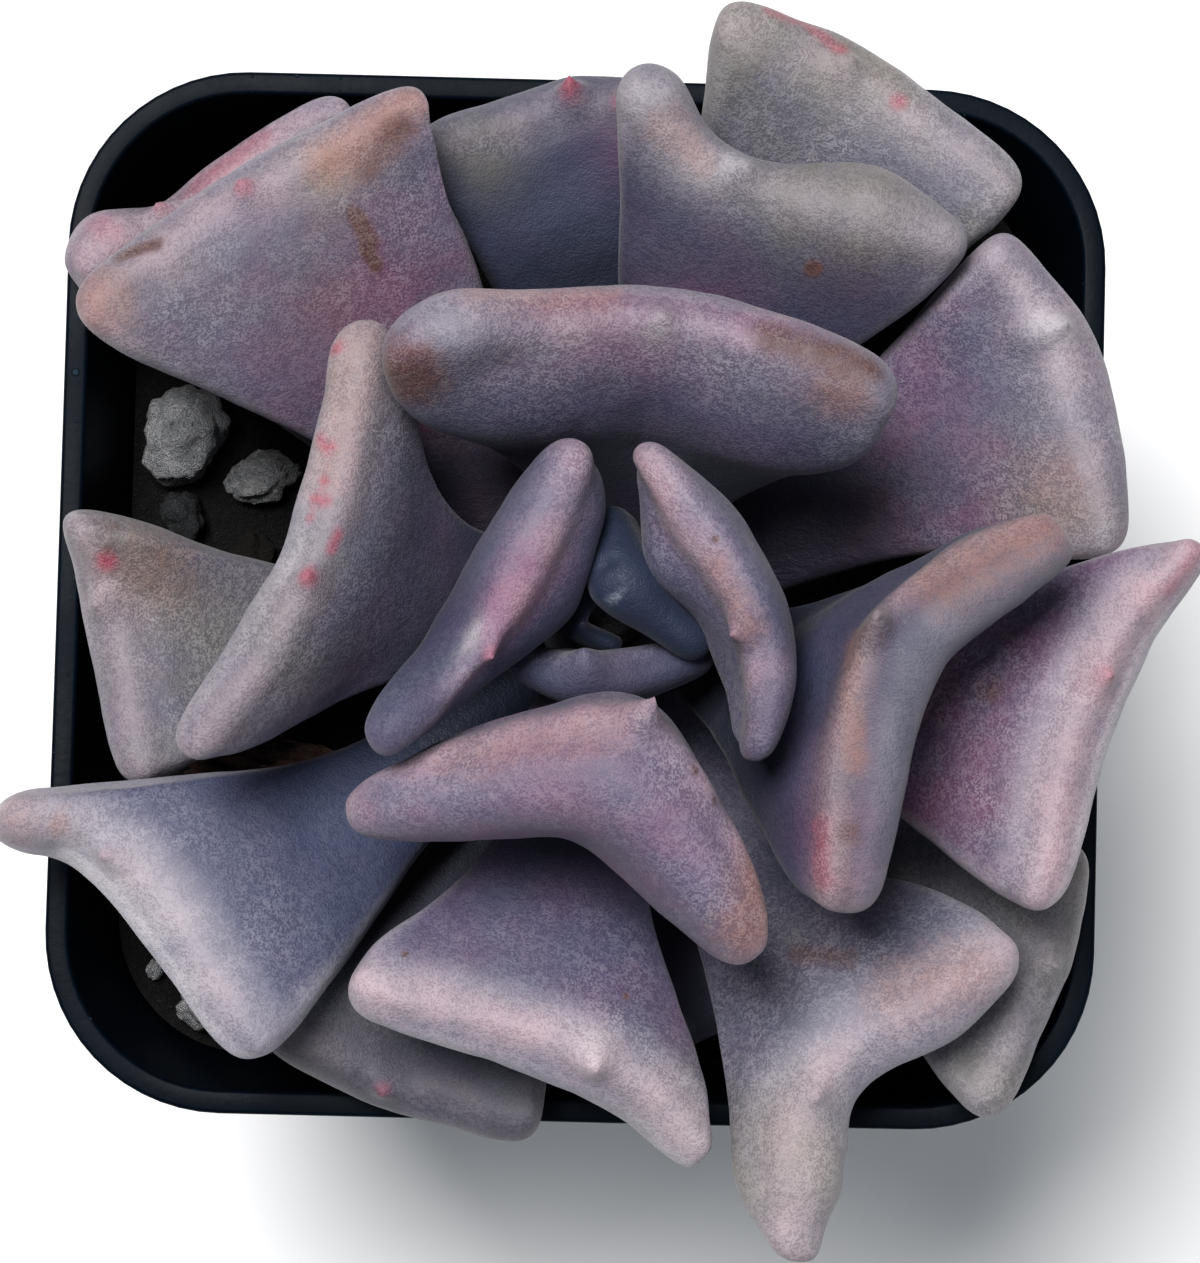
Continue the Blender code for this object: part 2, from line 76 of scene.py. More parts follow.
def soft_step(low: float, high: float, values: np.ndarray) -> np.ndarray:
    """Rise smoothly from 0 at the low value to 1 at the high one."""
    part = np.clip((values - low) / (high - low), 0.0, 1.0)
    return part * part * (3.0 - 2.0 * part)


# Tools for node trees


class EffectKind(Enum):
    """The surface effects that more than one finish uses."""

    GRAIN = "fine_grain"
    PATCHES = "soft_patches"
    SPECKS = "loose_specks"


GRAIN, PATCHES, SPECKS = EffectKind


@dataclass
class Sketch:
    """Adds nodes to one node tree and joins them."""

    tree: NodeTree
    effects: "Effects | None" = None

    def node(self, kind: str, **settings: object) -> Node:
        """Add a node.

        Args:
            kind: the node's type, without the leading ShaderNode.
            **settings: properties to set on it.

        Returns:
            The new node.
        """
        made = self.tree.nodes.new(kind if kind.startswith("Node") else f"ShaderNode{kind}")
        for name, value in settings.items():
            setattr(made, name, value)
        return made

    def feed(self, socket: NodeSocket, value: object) -> None:
        """Join an input socket to an output, or set its number or colour.

        Args:
            socket: the input to fill.
            value: an output socket, a number or a colour.
        """
        if isinstance(value, NodeSocket):
            self.tree.links.new(value, socket)
        elif isinstance(value, tuple) and len(value) == 3 and socket.type == "RGBA":
            socket.default_value = (*value, 1.0)
        else:
            socket.default_value = value

    def fed(self, made: Node, out: int | str, inputs: dict[int | str, object]) -> NodeSocket:
        """Fill some inputs of a node.

        Args:
            made: the node.
            out: which of its outputs is wanted.
            inputs: the inputs' values, by name or number.

        Returns:
            The wanted output.
        """
        for key, value in inputs.items():
            self.feed(made.inputs[key], value)
        return made.outputs[out]

    def math(self, operation: str, first: object, second: object, clamp: bool = False) -> NodeSocket:
        """Combine two values, and keep the result from 0 to 1 if clamp is set."""
        return self.fed(self.node("Math", operation=operation, use_clamp=clamp), 0, {0: first, 1: second})

    def times(self, first: object, second: object, clamp: bool = False) -> NodeSocket:
        """Multiply two values."""
        return self.math("MULTIPLY", first, second, clamp)

    def plus(self, first: object, second: object, clamp: bool = False) -> NodeSocket:
        """Add two values."""
        return self.math("ADD", first, second, clamp)

    def blend(self, share: object, under: object, over: object) -> NodeSocket:
        """Lay a share of one colour over another."""
        return self.fed(self.node("Mix", data_type="RGBA"), 2, {0: share, 6: under, 7: over})

    def span(self, value: object, low: object, high: object, to_low: float = 0.0, to_high: float = 1.0,
             smooth: bool = True) -> NodeSocket:
        """Map a value from the span of low to high to another one, with eased ends if smooth is set."""
        made = self.node("MapRange", interpolation_type="SMOOTHSTEP" if smooth else "LINEAR")
        return self.fed(made, 0, dict(enumerate((value, low, high, to_low, to_high))))

    def noise(self, place: NodeSocket, size: object, detail: float = 2.0, roughness: float = 0.5,
              twist: float = 0.0, finer: float = 1.0) -> NodeSocket:
        """Noise whose lumps have a real size.

        Args:
            place: the position in millimetres.
            size: width of one lump, a number or a socket.
            detail: number of finer layers.
            roughness: strength of the finer layers.
            twist: how much the pattern is distorted.
            finer: how many lumps lie in that width.

        Returns:
            The noise value's socket.
        """
        scale = self.math("DIVIDE", finer, size) if isinstance(size, NodeSocket) else finer / size
        inputs = {"Vector": place, "Scale": scale, "Detail": detail, "Roughness": roughness,
                  "Distortion": twist}
        return self.fed(self.node("TexNoise"), 0, inputs)

    def trait(self, name: str) -> NodeSocket:
        """Read one of the piece's own point attributes."""
        return self.node("Attribute", attribute_name=name).outputs["Fac"]

    def dappled(self, name: str, pattern: NodeSocket, gain: float, floor: float) -> NodeSocket:
        """Scale a trait by a pattern: by the floor where that is 0, and by the gain more where it is 1."""
        return self.times(self.trait(name), self.plus(self.times(pattern, gain), floor), clamp=True)

    def place(self, *stretch: float) -> NodeSocket:
        """Position on the piece in millimetres.

        Args:
            *stretch: factors along X, Y and Z, if any; below 1 draws a pattern out.

        Returns:
            The position's socket.
        """
        mapping = self.node("Mapping", vector_type="POINT")
        scale = tuple(s / MM for s in stretch or (1.0, 1.0, 1.0))
        return self.fed(mapping, 0, {"Scale": scale, "Vector": self.node("TexCoord").outputs["Object"]})

    def effect(self, kind: EffectKind, place: NodeSocket, **numbers: float) -> NodeSocket:
        """Place one of the shared effects."""
        made = self.node("Group", node_tree=self.effects.get(kind))
        return self.fed(made, 0, {"Place": place, **numbers})

    def bump(self, height: object, depth: float, strength: float = 1.0,
             below: NodeSocket | None = None) -> NodeSocket:
        """Turn a height into a surface normal.

        Args:
            height: the height from 0 to 1.
            depth: the height of 1 in millimetres.
            strength: how much of the relief shows.
            below: normal of a coarser relief that this one lies on.

        Returns:
            The normal's socket.
        """
        under = {} if below is None else {"Normal": below}
        inputs = {"Strength": strength, "Distance": depth * MM, "Height": height, **under}
        return self.fed(self.node("Bump"), 0, inputs)


@dataclass
class Effects:
    """Node groups shared by the finishes, each built once: a position and some numbers in, one mask out."""

    trees: dict[EffectKind, NodeTree] = field(default_factory=dict)

    def get(self, kind: EffectKind) -> NodeTree:
        """Return a group's tree, and build it the first time.

        Args:
            kind: which effect.

        Returns:
            The effect's node tree.
        """
        if kind in self.trees:
            return self.trees[kind]
        make, numbers = {
            GRAIN: (self.grain, {"Size": 0.5, "Contrast": 1.0}),
            PATCHES: (self.patches, {"Size": 8.0, "Cover": 0.4, "Softness": 0.15}),
            SPECKS: (self.specks, {"Size": 2.0, "Share": 0.3, "Width": 0.2}),
        }[kind]
        tree = self.trees[kind] = bpy.data.node_groups.new(kind.value, "ShaderNodeTree")
        add = tree.interface.new_socket
        add(name="Place", in_out="INPUT", socket_type="NodeSocketVector")
        for label, default in numbers.items():
            add(name=label, in_out="INPUT", socket_type="NodeSocketFloat").default_value = default
        add(name="Mask", in_out="OUTPUT", socket_type="NodeSocketFloat")
        sketch = Sketch(tree)
        entry = sketch.node("NodeGroupInput").outputs
        mask = make(sketch, *(entry[name] for name in ("Place", *numbers)))
        sketch.feed(sketch.node("NodeGroupOutput").inputs["Mask"], mask)
        return tree

    def grain(self, sketch: Sketch, place: NodeSocket, size: NodeSocket, contrast: NodeSocket) -> NodeSocket:
        """Papery roughness with a finer dust over it.

        Args:
            sketch: the group's sketch.
            place: the position in millimetres.
            size: width of one lump.
            contrast: how far the mask spreads about its middle.

        Returns:
            The mask.
        """
        coarse = sketch.times(sketch.noise(place, size, detail=3.0, roughness=0.6), 0.45)
        dust = sketch.times(sketch.noise(place, size, detail=1.0, finer=3.1), 0.55)
        centred = sketch.math("SUBTRACT", sketch.plus(coarse, dust), 0.5)
        return sketch.plus(sketch.times(centred, sketch.times(contrast, 3.8)), 0.5, clamp=True)

    def patches(self, sketch: Sketch, place: NodeSocket, size: NodeSocket, cover: NodeSocket,
                softness: NodeSocket) -> NodeSocket:
        """Cloudy areas with frayed borders.

        Args:
            sketch: the group's sketch.
            place: the position in millimetres.
            size: width of one cloud.
            cover: share of the surface that they cover.
            softness: how wide their borders are.

        Returns:
            The mask.
        """
        cloud = sketch.noise(place, size, detail=4.0, roughness=0.6, twist=0.4)
        middle = sketch.span(cover, 0.0, 1.0, 0.75, 0.25, smooth=False)
        return sketch.span(cloud, sketch.math("SUBTRACT", middle, softness), sketch.plus(middle, softness))

    def specks(self, sketch: Sketch, place: NodeSocket, size: NodeSocket, share: NodeSocket,
               width: NodeSocket) -> NodeSocket:
        """A few round dots of uneven size.

        Args:
            sketch: the group's sketch.
            place: the position in millimetres.
            size: spacing of the cells, with one dot in each at most.
            share: share of the cells that have a dot.
            width: the dots' largest radius, in cells.

        Returns:
            The mask.
        """
        cells = sketch.node("TexVoronoi", feature="F1")
        away = sketch.fed(cells, "Distance", {"Vector": place, "Scale": sketch.math("DIVIDE", 1.0, size)})
        chosen = sketch.node("SeparateColor")
        kept = sketch.math("LESS_THAN", sketch.fed(chosen, 0, {0: cells.outputs["Color"]}), share)
        radius = sketch.times(width, sketch.plus(chosen.outputs[1], 0.3))
        return sketch.times(kept, sketch.span(away, radius, sketch.times(radius, 0.5)))


# Finishes


class Finish:
    """A material with one Principled shader, whose inputs each kind of finish paints."""

    name: str
    roughness: float

    def paint(self, sketch: Sketch) -> dict[str, object]:
        """Return the shader's inputs by name."""
        raise NotImplementedError

    def build(self, effects: Effects) -> Material:
        """Build the material.

        Args:
            effects: the shared node groups.

        Returns:
            The finished material.
        """
        material = bpy.data.materials.new(self.name)
        material.use_nodes = True
        shader = material.node_tree.nodes["Principled BSDF"]
        shader.inputs["Roughness"].default_value = self.roughness
        shader.inputs["Metallic"].default_value = 0.0
        sketch = Sketch(material.node_tree, effects)
        sketch.fed(shader, 0, self.paint(sketch))
        return material


@dataclass(frozen=True)
class LeafSkin(Finish):
    """Grey-lavender skin under a mealy bloom, with pale margins, rosy ridges, weathered marks and painted
    shade towards the stem.
    """

    name: str = "leaf_skin"
    roughness: float = 0.6
    lavender: Colour = shade("525770")
    slate: Colour = shade("303c55")
    rose: Colour = shade("6f4465")
    olive: Colour = shade("69665a")
    pale: Colour = shade("bbb7bd")
    pink: Colour = shade("a98b93")
    tan: Colour = shade("8e5f4b")
    red: Colour = shade("9c3850")
    brown: Colour = shade("553831")
    crust: Colour = shade("9aa3ad")
    # painted shade: the dark blue that the skin turns towards the stem and under other leaves, where shade
    # falls
    shade_tone: Colour = shade("0e1624")
    soot: Colour = shade("2f2e3e")

    def paint(self, sketch: Sketch) -> dict[str, object]:
        """Lay the meal, the pores and a few dark dots over the marked skin.

        Args:
            sketch: the material's sketch.

        Returns:
            The shader's inputs by name.
        """
        place = sketch.place()
        grain = sketch.effect(GRAIN, place, Size=0.55, Contrast=1.5)
        marked = self.marks(sketch, place, self.body_colour(sketch, place))
        meal = sketch.effect(PATCHES, place, Size=1.8, Cover=0.5, Softness=0.42)
        thick_meal = sketch.effect(PATCHES, place, Size=9.0, Cover=0.5, Softness=0.2)
        cover = sketch.plus(sketch.times(thick_meal, 0.24), 0.12)
        # the painted shade and the slate tone keep the meal flecks off the shaded skin
        shade_and_slate = sketch.plus(sketch.trait("depth"), sketch.times(sketch.trait("slate"), 0.7))
        open_skin = sketch.math("SUBTRACT", 1.0, shade_and_slate, clamp=True)
        fleck = sketch.times(sketch.times(meal, sketch.span(grain, 0.35, 0.8, 0.05, 1.0)), cover)
        mealy = sketch.blend(sketch.times(fleck, open_skin), marked, self.pale)
        pored = sketch.blend(sketch.times(sketch.span(grain, 0.5, 0.05), 0.22), mealy, self.soot)
        dots = sketch.effect(SPECKS, place, Size=3.4, Share=0.1, Width=0.075)
        return {
            "Base Color": sketch.blend(sketch.times(dots, 0.6), pored, self.soot),
            "Roughness": sketch.span(grain, 0.0, 1.0, 0.5, 0.72, smooth=False),
            "Normal": self.relief(sketch, place, grain),
            "Sheen Weight": 0.1,
            "Sheen Roughness": 0.45,
            "Specular IOR Level": 0.35,
        }

    def body_colour(self, sketch: Sketch, place: NodeSocket) -> NodeSocket:
        """Mix the skin's broad colours, from the stem out to the margin, and lay the painted shade over them.

        Args:
            sketch: the material's sketch.
            place: the position in millimetres.

        Returns:
            The colour's socket.
        """
        cloud = sketch.effect(PATCHES, place, Size=13.0, Cover=0.5, Softness=0.3)
        bloom = sketch.effect(PATCHES, place, Size=7.0, Cover=0.5, Softness=0.22)
        green = sketch.times(sketch.trait("olive"), sketch.span(cloud, 1.0, 0.0, 0.45, 1.0), clamp=True)
        skin = self.lavender
        for share, colour in ((sketch.dappled("slate", cloud, 0.5, 0.6), self.slate),
                              (sketch.dappled("rose", bloom, 0.7, 0.3), self.rose),
                              (green, self.olive),
                              (sketch.dappled("margin", bloom, 0.5, 0.5), self.pale),
                              (sketch.dappled("ridge", bloom, 0.35, 0.55), self.pink),
                              # last layer: painted shade from the depth trait, darker towards the stem where
                              # shade falls
                              (sketch.times(sketch.trait("depth"), 0.85), self.shade_tone)):
            skin = sketch.blend(share, skin, colour)
        return skin

    def marks(self, sketch: Sketch, place: NodeSocket, skin: NodeSocket) -> NodeSocket:
        """Lay the weathered marks over the skin.

        Args:
            sketch: the material's sketch.
            place: the position in millimetres.
            skin: the colour so far.

        Returns:
            The marked colour's socket.
        """
        fray = sketch.noise(place, 1.1, detail=4.0, roughness=0.75)
        for name, colour, low, high, cover in (("tan", self.tan, 0.3, 1.45, 0.65),
                                               ("red", self.red, 0.35, 1.5, 0.85),
                                               ("brown", self.brown, 0.45, 1.1, 0.9),
                                               ("crust", self.crust, 0.42, 1.0, 0.9)):
            frayed = sketch.span(sketch.plus(sketch.trait(name), sketch.times(fray, 0.7)), low, high)
            kept = sketch.times(frayed, sketch.span(sketch.trait(name), 0.02, 0.35))
            skin = sketch.blend(sketch.times(kept, cover), skin, colour)
        return skin

    def relief(self, sketch: Sketch, place: NodeSocket, grain: NodeSocket) -> NodeSocket:
        """Combine long wrinkles near the stem, shallow dimples and the papery grain.

        Args:
            sketch: the material's sketch.
            place: the position in millimetres.
            grain: the fine grain's mask.

        Returns:
            The normal's socket.
        """
        folds = sketch.noise(sketch.place(0.35, 0.9, 0.6), 1.5, detail=3.0, roughness=0.6, twist=0.8)
        wrinkles = sketch.bump(sketch.times(folds, sketch.trait("wrinkle")), 0.9)
        dimples = sketch.bump(sketch.noise(place, 2.2), 0.09, below=wrinkles)
        return sketch.bump(grain, 0.03, strength=0.9, below=dimples)


@dataclass(frozen=True)
class PotPlastic(Finish):
    """Black moulded plastic with a soft sheen, scuffs and garden dust."""

    name: str = "pot_plastic"
    roughness: float = 0.38
    plastic: Colour = shade("060e17")
    dust: Colour = shade("38444f")
    smear: Colour = shade("0e1823")

    def paint(self, sketch: Sketch) -> dict[str, object]:
        """Lay smears, motes and crumbs on the plastic, most at its rim and foot.

        Args:
            sketch: the material's sketch.

        Returns:
            The shader's inputs by name.
        """
        place = sketch.place()
        height = sketch.fed(sketch.node("SeparateXYZ"), 2, {0: place})
        smears = sketch.effect(PATCHES, sketch.place(1.0, 1.0, 0.35), Size=16.0, Cover=0.45, Softness=0.25)
        crumbs = sketch.effect(SPECKS, place, Size=3.0, Share=0.22, Width=0.11)
        motes = sketch.effect(SPECKS, place, Size=0.9, Share=0.16, Width=0.16)
        rim = sketch.span(height, 66.0, 75.0, 0.35, 1.0)
        foot = sketch.span(height, 14.0, 0.0, 0.0, 0.6)
        shaded_grain_finish = sketch.math("MAXIMUM", rim, foot)
        film = sketch.times(sketch.times(smears, shaded_grain_finish), 0.5)
        fall = sketch.times(sketch.math("MAXIMUM", crumbs, sketch.times(motes, 0.7)), shaded_grain_finish)
        dull = sketch.span(smears, 0.0, 1.0, 0.4, 0.56, smooth=False)
        scuffs = sketch.noise(sketch.place(1.0, 1.0, 0.06), 1.3, detail=3.0, roughness=0.6)
        moulding = sketch.bump(scuffs, 0.05, strength=0.5)
        orange_peel = sketch.bump(sketch.noise(place, 0.7), 0.03, strength=0.6, below=moulding)
        base = sketch.blend(film, self.plastic, self.smear)
        return {
            "Base Color": sketch.blend(sketch.times(fall, 0.6), base, self.dust),
            "Roughness": sketch.plus(dull, sketch.times(fall, 0.4), clamp=True),
            "Normal": sketch.bump(fall, 0.12, below=orange_peel),
            "Specular IOR Level": 0.07,
        }


@dataclass(frozen=True)
class LooseMatter(Finish):
    """Rough dry matter in two colours with flecks of a third, such as peat, bark or perlite."""

    name: str
    dark: Colour
    light: Colour
    fleck: Colour
    lump: float
    relief: float
    flecks: float = 0.25
    stretch: Spot = (1.0, 1.0, 1.0)
    roughness: float = 0.9

    def paint(self, sketch: Sketch) -> dict[str, object]:
        """Mix the three colours in lumps, grit and flecks.

        Args:
            sketch: the material's sketch.

        Returns:
            The shader's inputs by name.
        """
        place = sketch.place(*self.stretch)
        cloud = sketch.effect(PATCHES, place, Size=self.lump, Cover=0.5, Softness=0.25)
        grain = sketch.effect(GRAIN, place, Size=self.lump * 0.2, Contrast=1.2)
        specks = sketch.effect(SPECKS, place, Size=self.lump * 0.5, Share=self.flecks, Width=0.3)
        base = sketch.blend(cloud, self.dark, self.light)
        gritty = sketch.blend(sketch.span(grain, 0.5, 0.05, 0.0, 0.7), base, self.dark)
        lumpy = sketch.bump(sketch.noise(place, self.lump * 0.4, detail=4.0, roughness=0.65), self.relief)
        return {
            "Base Color": sketch.blend(sketch.times(specks, 0.7), gritty, self.fleck),
            "Roughness": sketch.span(grain, 0.0, 1.0, 0.95, 0.75, smooth=False),
            "Normal": sketch.bump(grain, self.relief * 0.35, below=lumpy),
        }


@dataclass(frozen=True)
class StemSkin(Finish):
    """Corky green-brown stem with pale rings where leaves have grown."""

    name: str = "stem_skin"
    roughness: float = 0.75
    cork: Colour = shade("3d3732")
    green: Colour = shade("474d55")
    ring: Colour = shade("6a6a70")

    def paint(self, sketch: Sketch) -> dict[str, object]:
        """Mix cork and green, and draw the rings round the stem.

        Args:
            sketch: the material's sketch.

        Returns:
            The shader's inputs by name.
        """
        place = sketch.place()
        cloud = sketch.effect(PATCHES, place, Size=5.0, Cover=0.5, Softness=0.3)
        grain = sketch.effect(GRAIN, place, Size=0.6, Contrast=1.0)
        rings = sketch.noise(sketch.place(0.25, 0.25, 1.0), 1.1)
        base = sketch.blend(cloud, self.cork, self.green)
        ringed = sketch.blend(sketch.span(rings, 0.52, 0.66, 0.0, 0.6), base, self.ring)
        return {
            "Base Color": sketch.blend(sketch.span(grain, 0.45, 0.1, 0.0, 0.4), ringed, self.cork),
            "Normal": sketch.bump(grain, 0.1, below=sketch.bump(rings, 0.5)),
        }


@dataclass(frozen=True)
class StudioPaper(Finish):
    """Plain pale paper of the floor."""

    name: str = "studio_paper"
    roughness: float = 0.9
    tone: Colour = (0.86, 0.86, 0.87)

    def paint(self, sketch: Sketch) -> dict[str, object]:
        """Return the plain tone, with hardly any shine."""
        return {"Base Color": self.tone, "Specular IOR Level": 0.1}


# Making meshes into pieces


def settled(source: bpy.types.Object) -> Mesh:
    """Read an object's mesh with its modifiers applied, and remove the object.

    Args:
        source: the object with live modifiers.

    Returns:
        The finished mesh.
    """
    graph = bpy.context.evaluated_depsgraph_get()
    ready = source.evaluated_get(graph)
    mesh = bpy.data.meshes.new_from_object(ready, preserve_all_data_layers=True, depsgraph=graph)
    old = source.data
    bpy.data.objects.remove(source)
    bpy.data.meshes.remove(old)
    return mesh


def draft(name: str, bm: BMesh) -> bpy.types.Object:
    """Make a working object, in millimetres, from a bmesh.

    Args:
        name: the object's name.
        bm: the shape, which is freed.

    Returns:
        The object.
    """
    mesh = bpy.data.meshes.new(name)
    bm.to_mesh(mesh)
    bm.free()
    made = bpy.data.objects.new(name, mesh)
    bpy.context.scene.collection.objects.link(made)
    return made


def closed(bm: BMesh) -> Mesh:
    """Turn a closed bmesh into a mesh whose faces look outwards."""
    bmesh.ops.recalc_face_normals(bm, faces=bm.faces)
    return settled(draft("form", bm))


def as_piece(name: str, mesh: Mesh, material: Material, slot: str, *nodes: str,
             smooth_angle: float | None = None) -> None:
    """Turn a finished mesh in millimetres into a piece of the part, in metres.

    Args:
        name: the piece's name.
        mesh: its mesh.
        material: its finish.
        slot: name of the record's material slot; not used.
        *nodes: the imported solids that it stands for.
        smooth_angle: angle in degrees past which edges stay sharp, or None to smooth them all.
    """
    mesh.name = name
    mesh.transform(Matrix.Scale(MM, 4))
    mesh.shade_smooth()
    if smooth_angle is not None:
        mesh.set_sharp_from_angle(angle=math.radians(smooth_angle))
    mesh.materials.clear()
    mesh.materials.append(material)
    piece = bpy.data.objects.new(name, mesh)
    bpy.context.scene.collection.objects.link(piece)
    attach(piece, BODY)
    if nodes:
        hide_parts(*nodes)
    log.info("%s: %d faces", name, len(mesh.polygons))


def rows_of(mesh: Mesh, name: str) -> np.ndarray:
    """Read the vertices' positions or normals as rows of three.

    Args:
        mesh: the mesh.
        name: "co" for positions or "normal" for normals.

    Returns:
        One row for each vertex.
    """
    flat = np.empty(len(mesh.vertices) * 3)
    mesh.vertices.foreach_get(name, flat)
    return flat.reshape(-1, 3)


def move_points(mesh: Mesh, points: np.ndarray) -> None:
    """Write a mesh's vertex positions, given as rows of three."""
    mesh.vertices.foreach_set("co", points.ravel())
    mesh.update()


def read_trait(mesh: Mesh, name: str) -> np.ndarray:
    """Read one of a mesh's point attributes.

    Args:
        mesh: the mesh.
        name: the attribute's name.

    Returns:
        One value for each vertex.
    """
    values = np.empty(len(mesh.vertices))
    mesh.attributes[name].data.foreach_get("value", values)
    return values


def write_trait(mesh: Mesh, name: str, values: np.ndarray) -> None:
    """Write one of a mesh's point attributes."""
    trait = mesh.attributes.get(name) or mesh.attributes.new(name, "FLOAT", "POINT")
    trait.data.foreach_set("value", np.clip(values, 0.0, 1.0).astype(np.float32))


def lumps(points: np.ndarray, size: float, seed: float = 0.0, octaves: int = 1) -> np.ndarray:
    """Noise at some points, from about -1 to 1.

    Args:
        points: positions in millimetres as rows of three.
        size: width of one lump.
        seed: shifts the pattern.
        octaves: number of layers, each half as wide and half as high as the last.

    Returns:
        One value for each point.
    """
    total = np.zeros(len(points))
    for octave in range(octaves):
        rows = (points * (2 ** octave / size) + seed).tolist()
        total += np.array([noise.noise(row) for row in rows]) / 2 ** octave
    return total


def waves(size: float, x: float, y: float, z: float) -> float:
    """Noise at one place, with lumps of the given width across X and Y."""
    return noise.noise(Vector((x / size, y / size, z)))


def roughened(mesh: Mesh, depths: np.ndarray) -> Mesh:
    """Move a mesh's vertices along their normals, each by its own depth."""
    move_points(mesh, rows_of(mesh, "co") + rows_of(mesh, "normal") * depths[:, None])
    return mesh


def extruded(bm: BMesh, face: BMFace) -> BMFace:
    """Extrude one face in place, and return the face at the new end."""
    made = bmesh.ops.extrude_face_region(bm, geom=[face, *face.edges, *face.verts])["geom"]
    return next(item for item in made if isinstance(item, BMFace))


def add_tube(bm: BMesh, path: list[Vector], radius: float, sides: int) -> None:
    """Add a closed tube of even width that follows some points.

    Args:
        bm: the bmesh to add to.
        path: the points, two at least.
        radius: the tube's radius.
        sides: number of its sides.
    """
    start = path[1] - path[0]
    turn = start.to_track_quat("Z", "Y").to_matrix().to_4x4()
    ring = bmesh.ops.create_circle(bm, cap_ends=True, segments=sides, radius=radius,
                                   matrix=Matrix.Translation(path[0]) @ turn)["verts"]
    face = ring[0].link_faces[0]
    face.normal_update()
    for index in range(1, len(path)):
        face = extruded(bm, face)
        step = path[index] - path[index - 1]
        after = path[min(index + 1, len(path) - 1)] - path[index]
        heading = (step.normalized() + after.normalized()).to_track_quat("Z", "Y").to_matrix().to_4x4()
        bmesh.ops.translate(bm, vec=step, verts=face.verts)
        about = Matrix.Translation(path[index])
        bmesh.ops.transform(bm, matrix=about @ heading @ turn.inverted() @ about.inverted(), verts=face.verts)
        turn = heading


# The pot and what lies in it


@dataclass(frozen=True)
class Ring:
    """Outline of a square with round corners at some height."""

    side: float
    corner: float
    height: float

    def grown(self, amount: float, height: float) -> "Ring":
        """Move the outline outwards and to another height."""
        return Ring(self.side + 2 * amount, self.corner + amount, height)

    def moved(self, point: Vector, target: "Ring") -> Vector:
        """Carry a point of this outline over to another one.

        Args:
            point: a point of this outline.
            target: the outline that it goes to.

        Returns:
            The same place on the other outline.
        """
        reach = self.side / 2 - self.corner
        centre = Vector((max(-reach, min(reach, point.x)), max(-reach, min(reach, point.y))))
        away = (point.xy - centre).normalized()
        place = centre * ((target.side / 2 - target.corner) / reach) + away * target.corner
        return Vector((place.x, place.y, target.height))

    def start(self, corner_steps: int, side_cuts: int) -> tuple[BMesh, BMFace]:
        """Make one flat face with this outline.

        Args:
            corner_steps: number of edges round each corner.
            side_cuts: number of vertices added along each straight side.

        Returns:
            The bmesh and its only face.
        """
        bm = bmesh.new()
        bmesh.ops.create_grid(bm, x_segments=1, y_segments=1, size=self.side / 2)
        bmesh.ops.bevel(bm, geom=bm.verts[:], affect="VERTICES", offset=self.corner, segments=corner_steps,
                        profile=0.5, material=-1)
        straight = [edge for edge in bm.edges if edge.calc_length() > self.side / 3]
        bmesh.ops.subdivide_edges(bm, edges=straight, cuts=side_cuts)
        bmesh.ops.translate(bm, vec=(0.0, 0.0, self.height), verts=bm.verts)
        bm.faces.ensure_lookup_table()
        return bm, bm.faces[0]


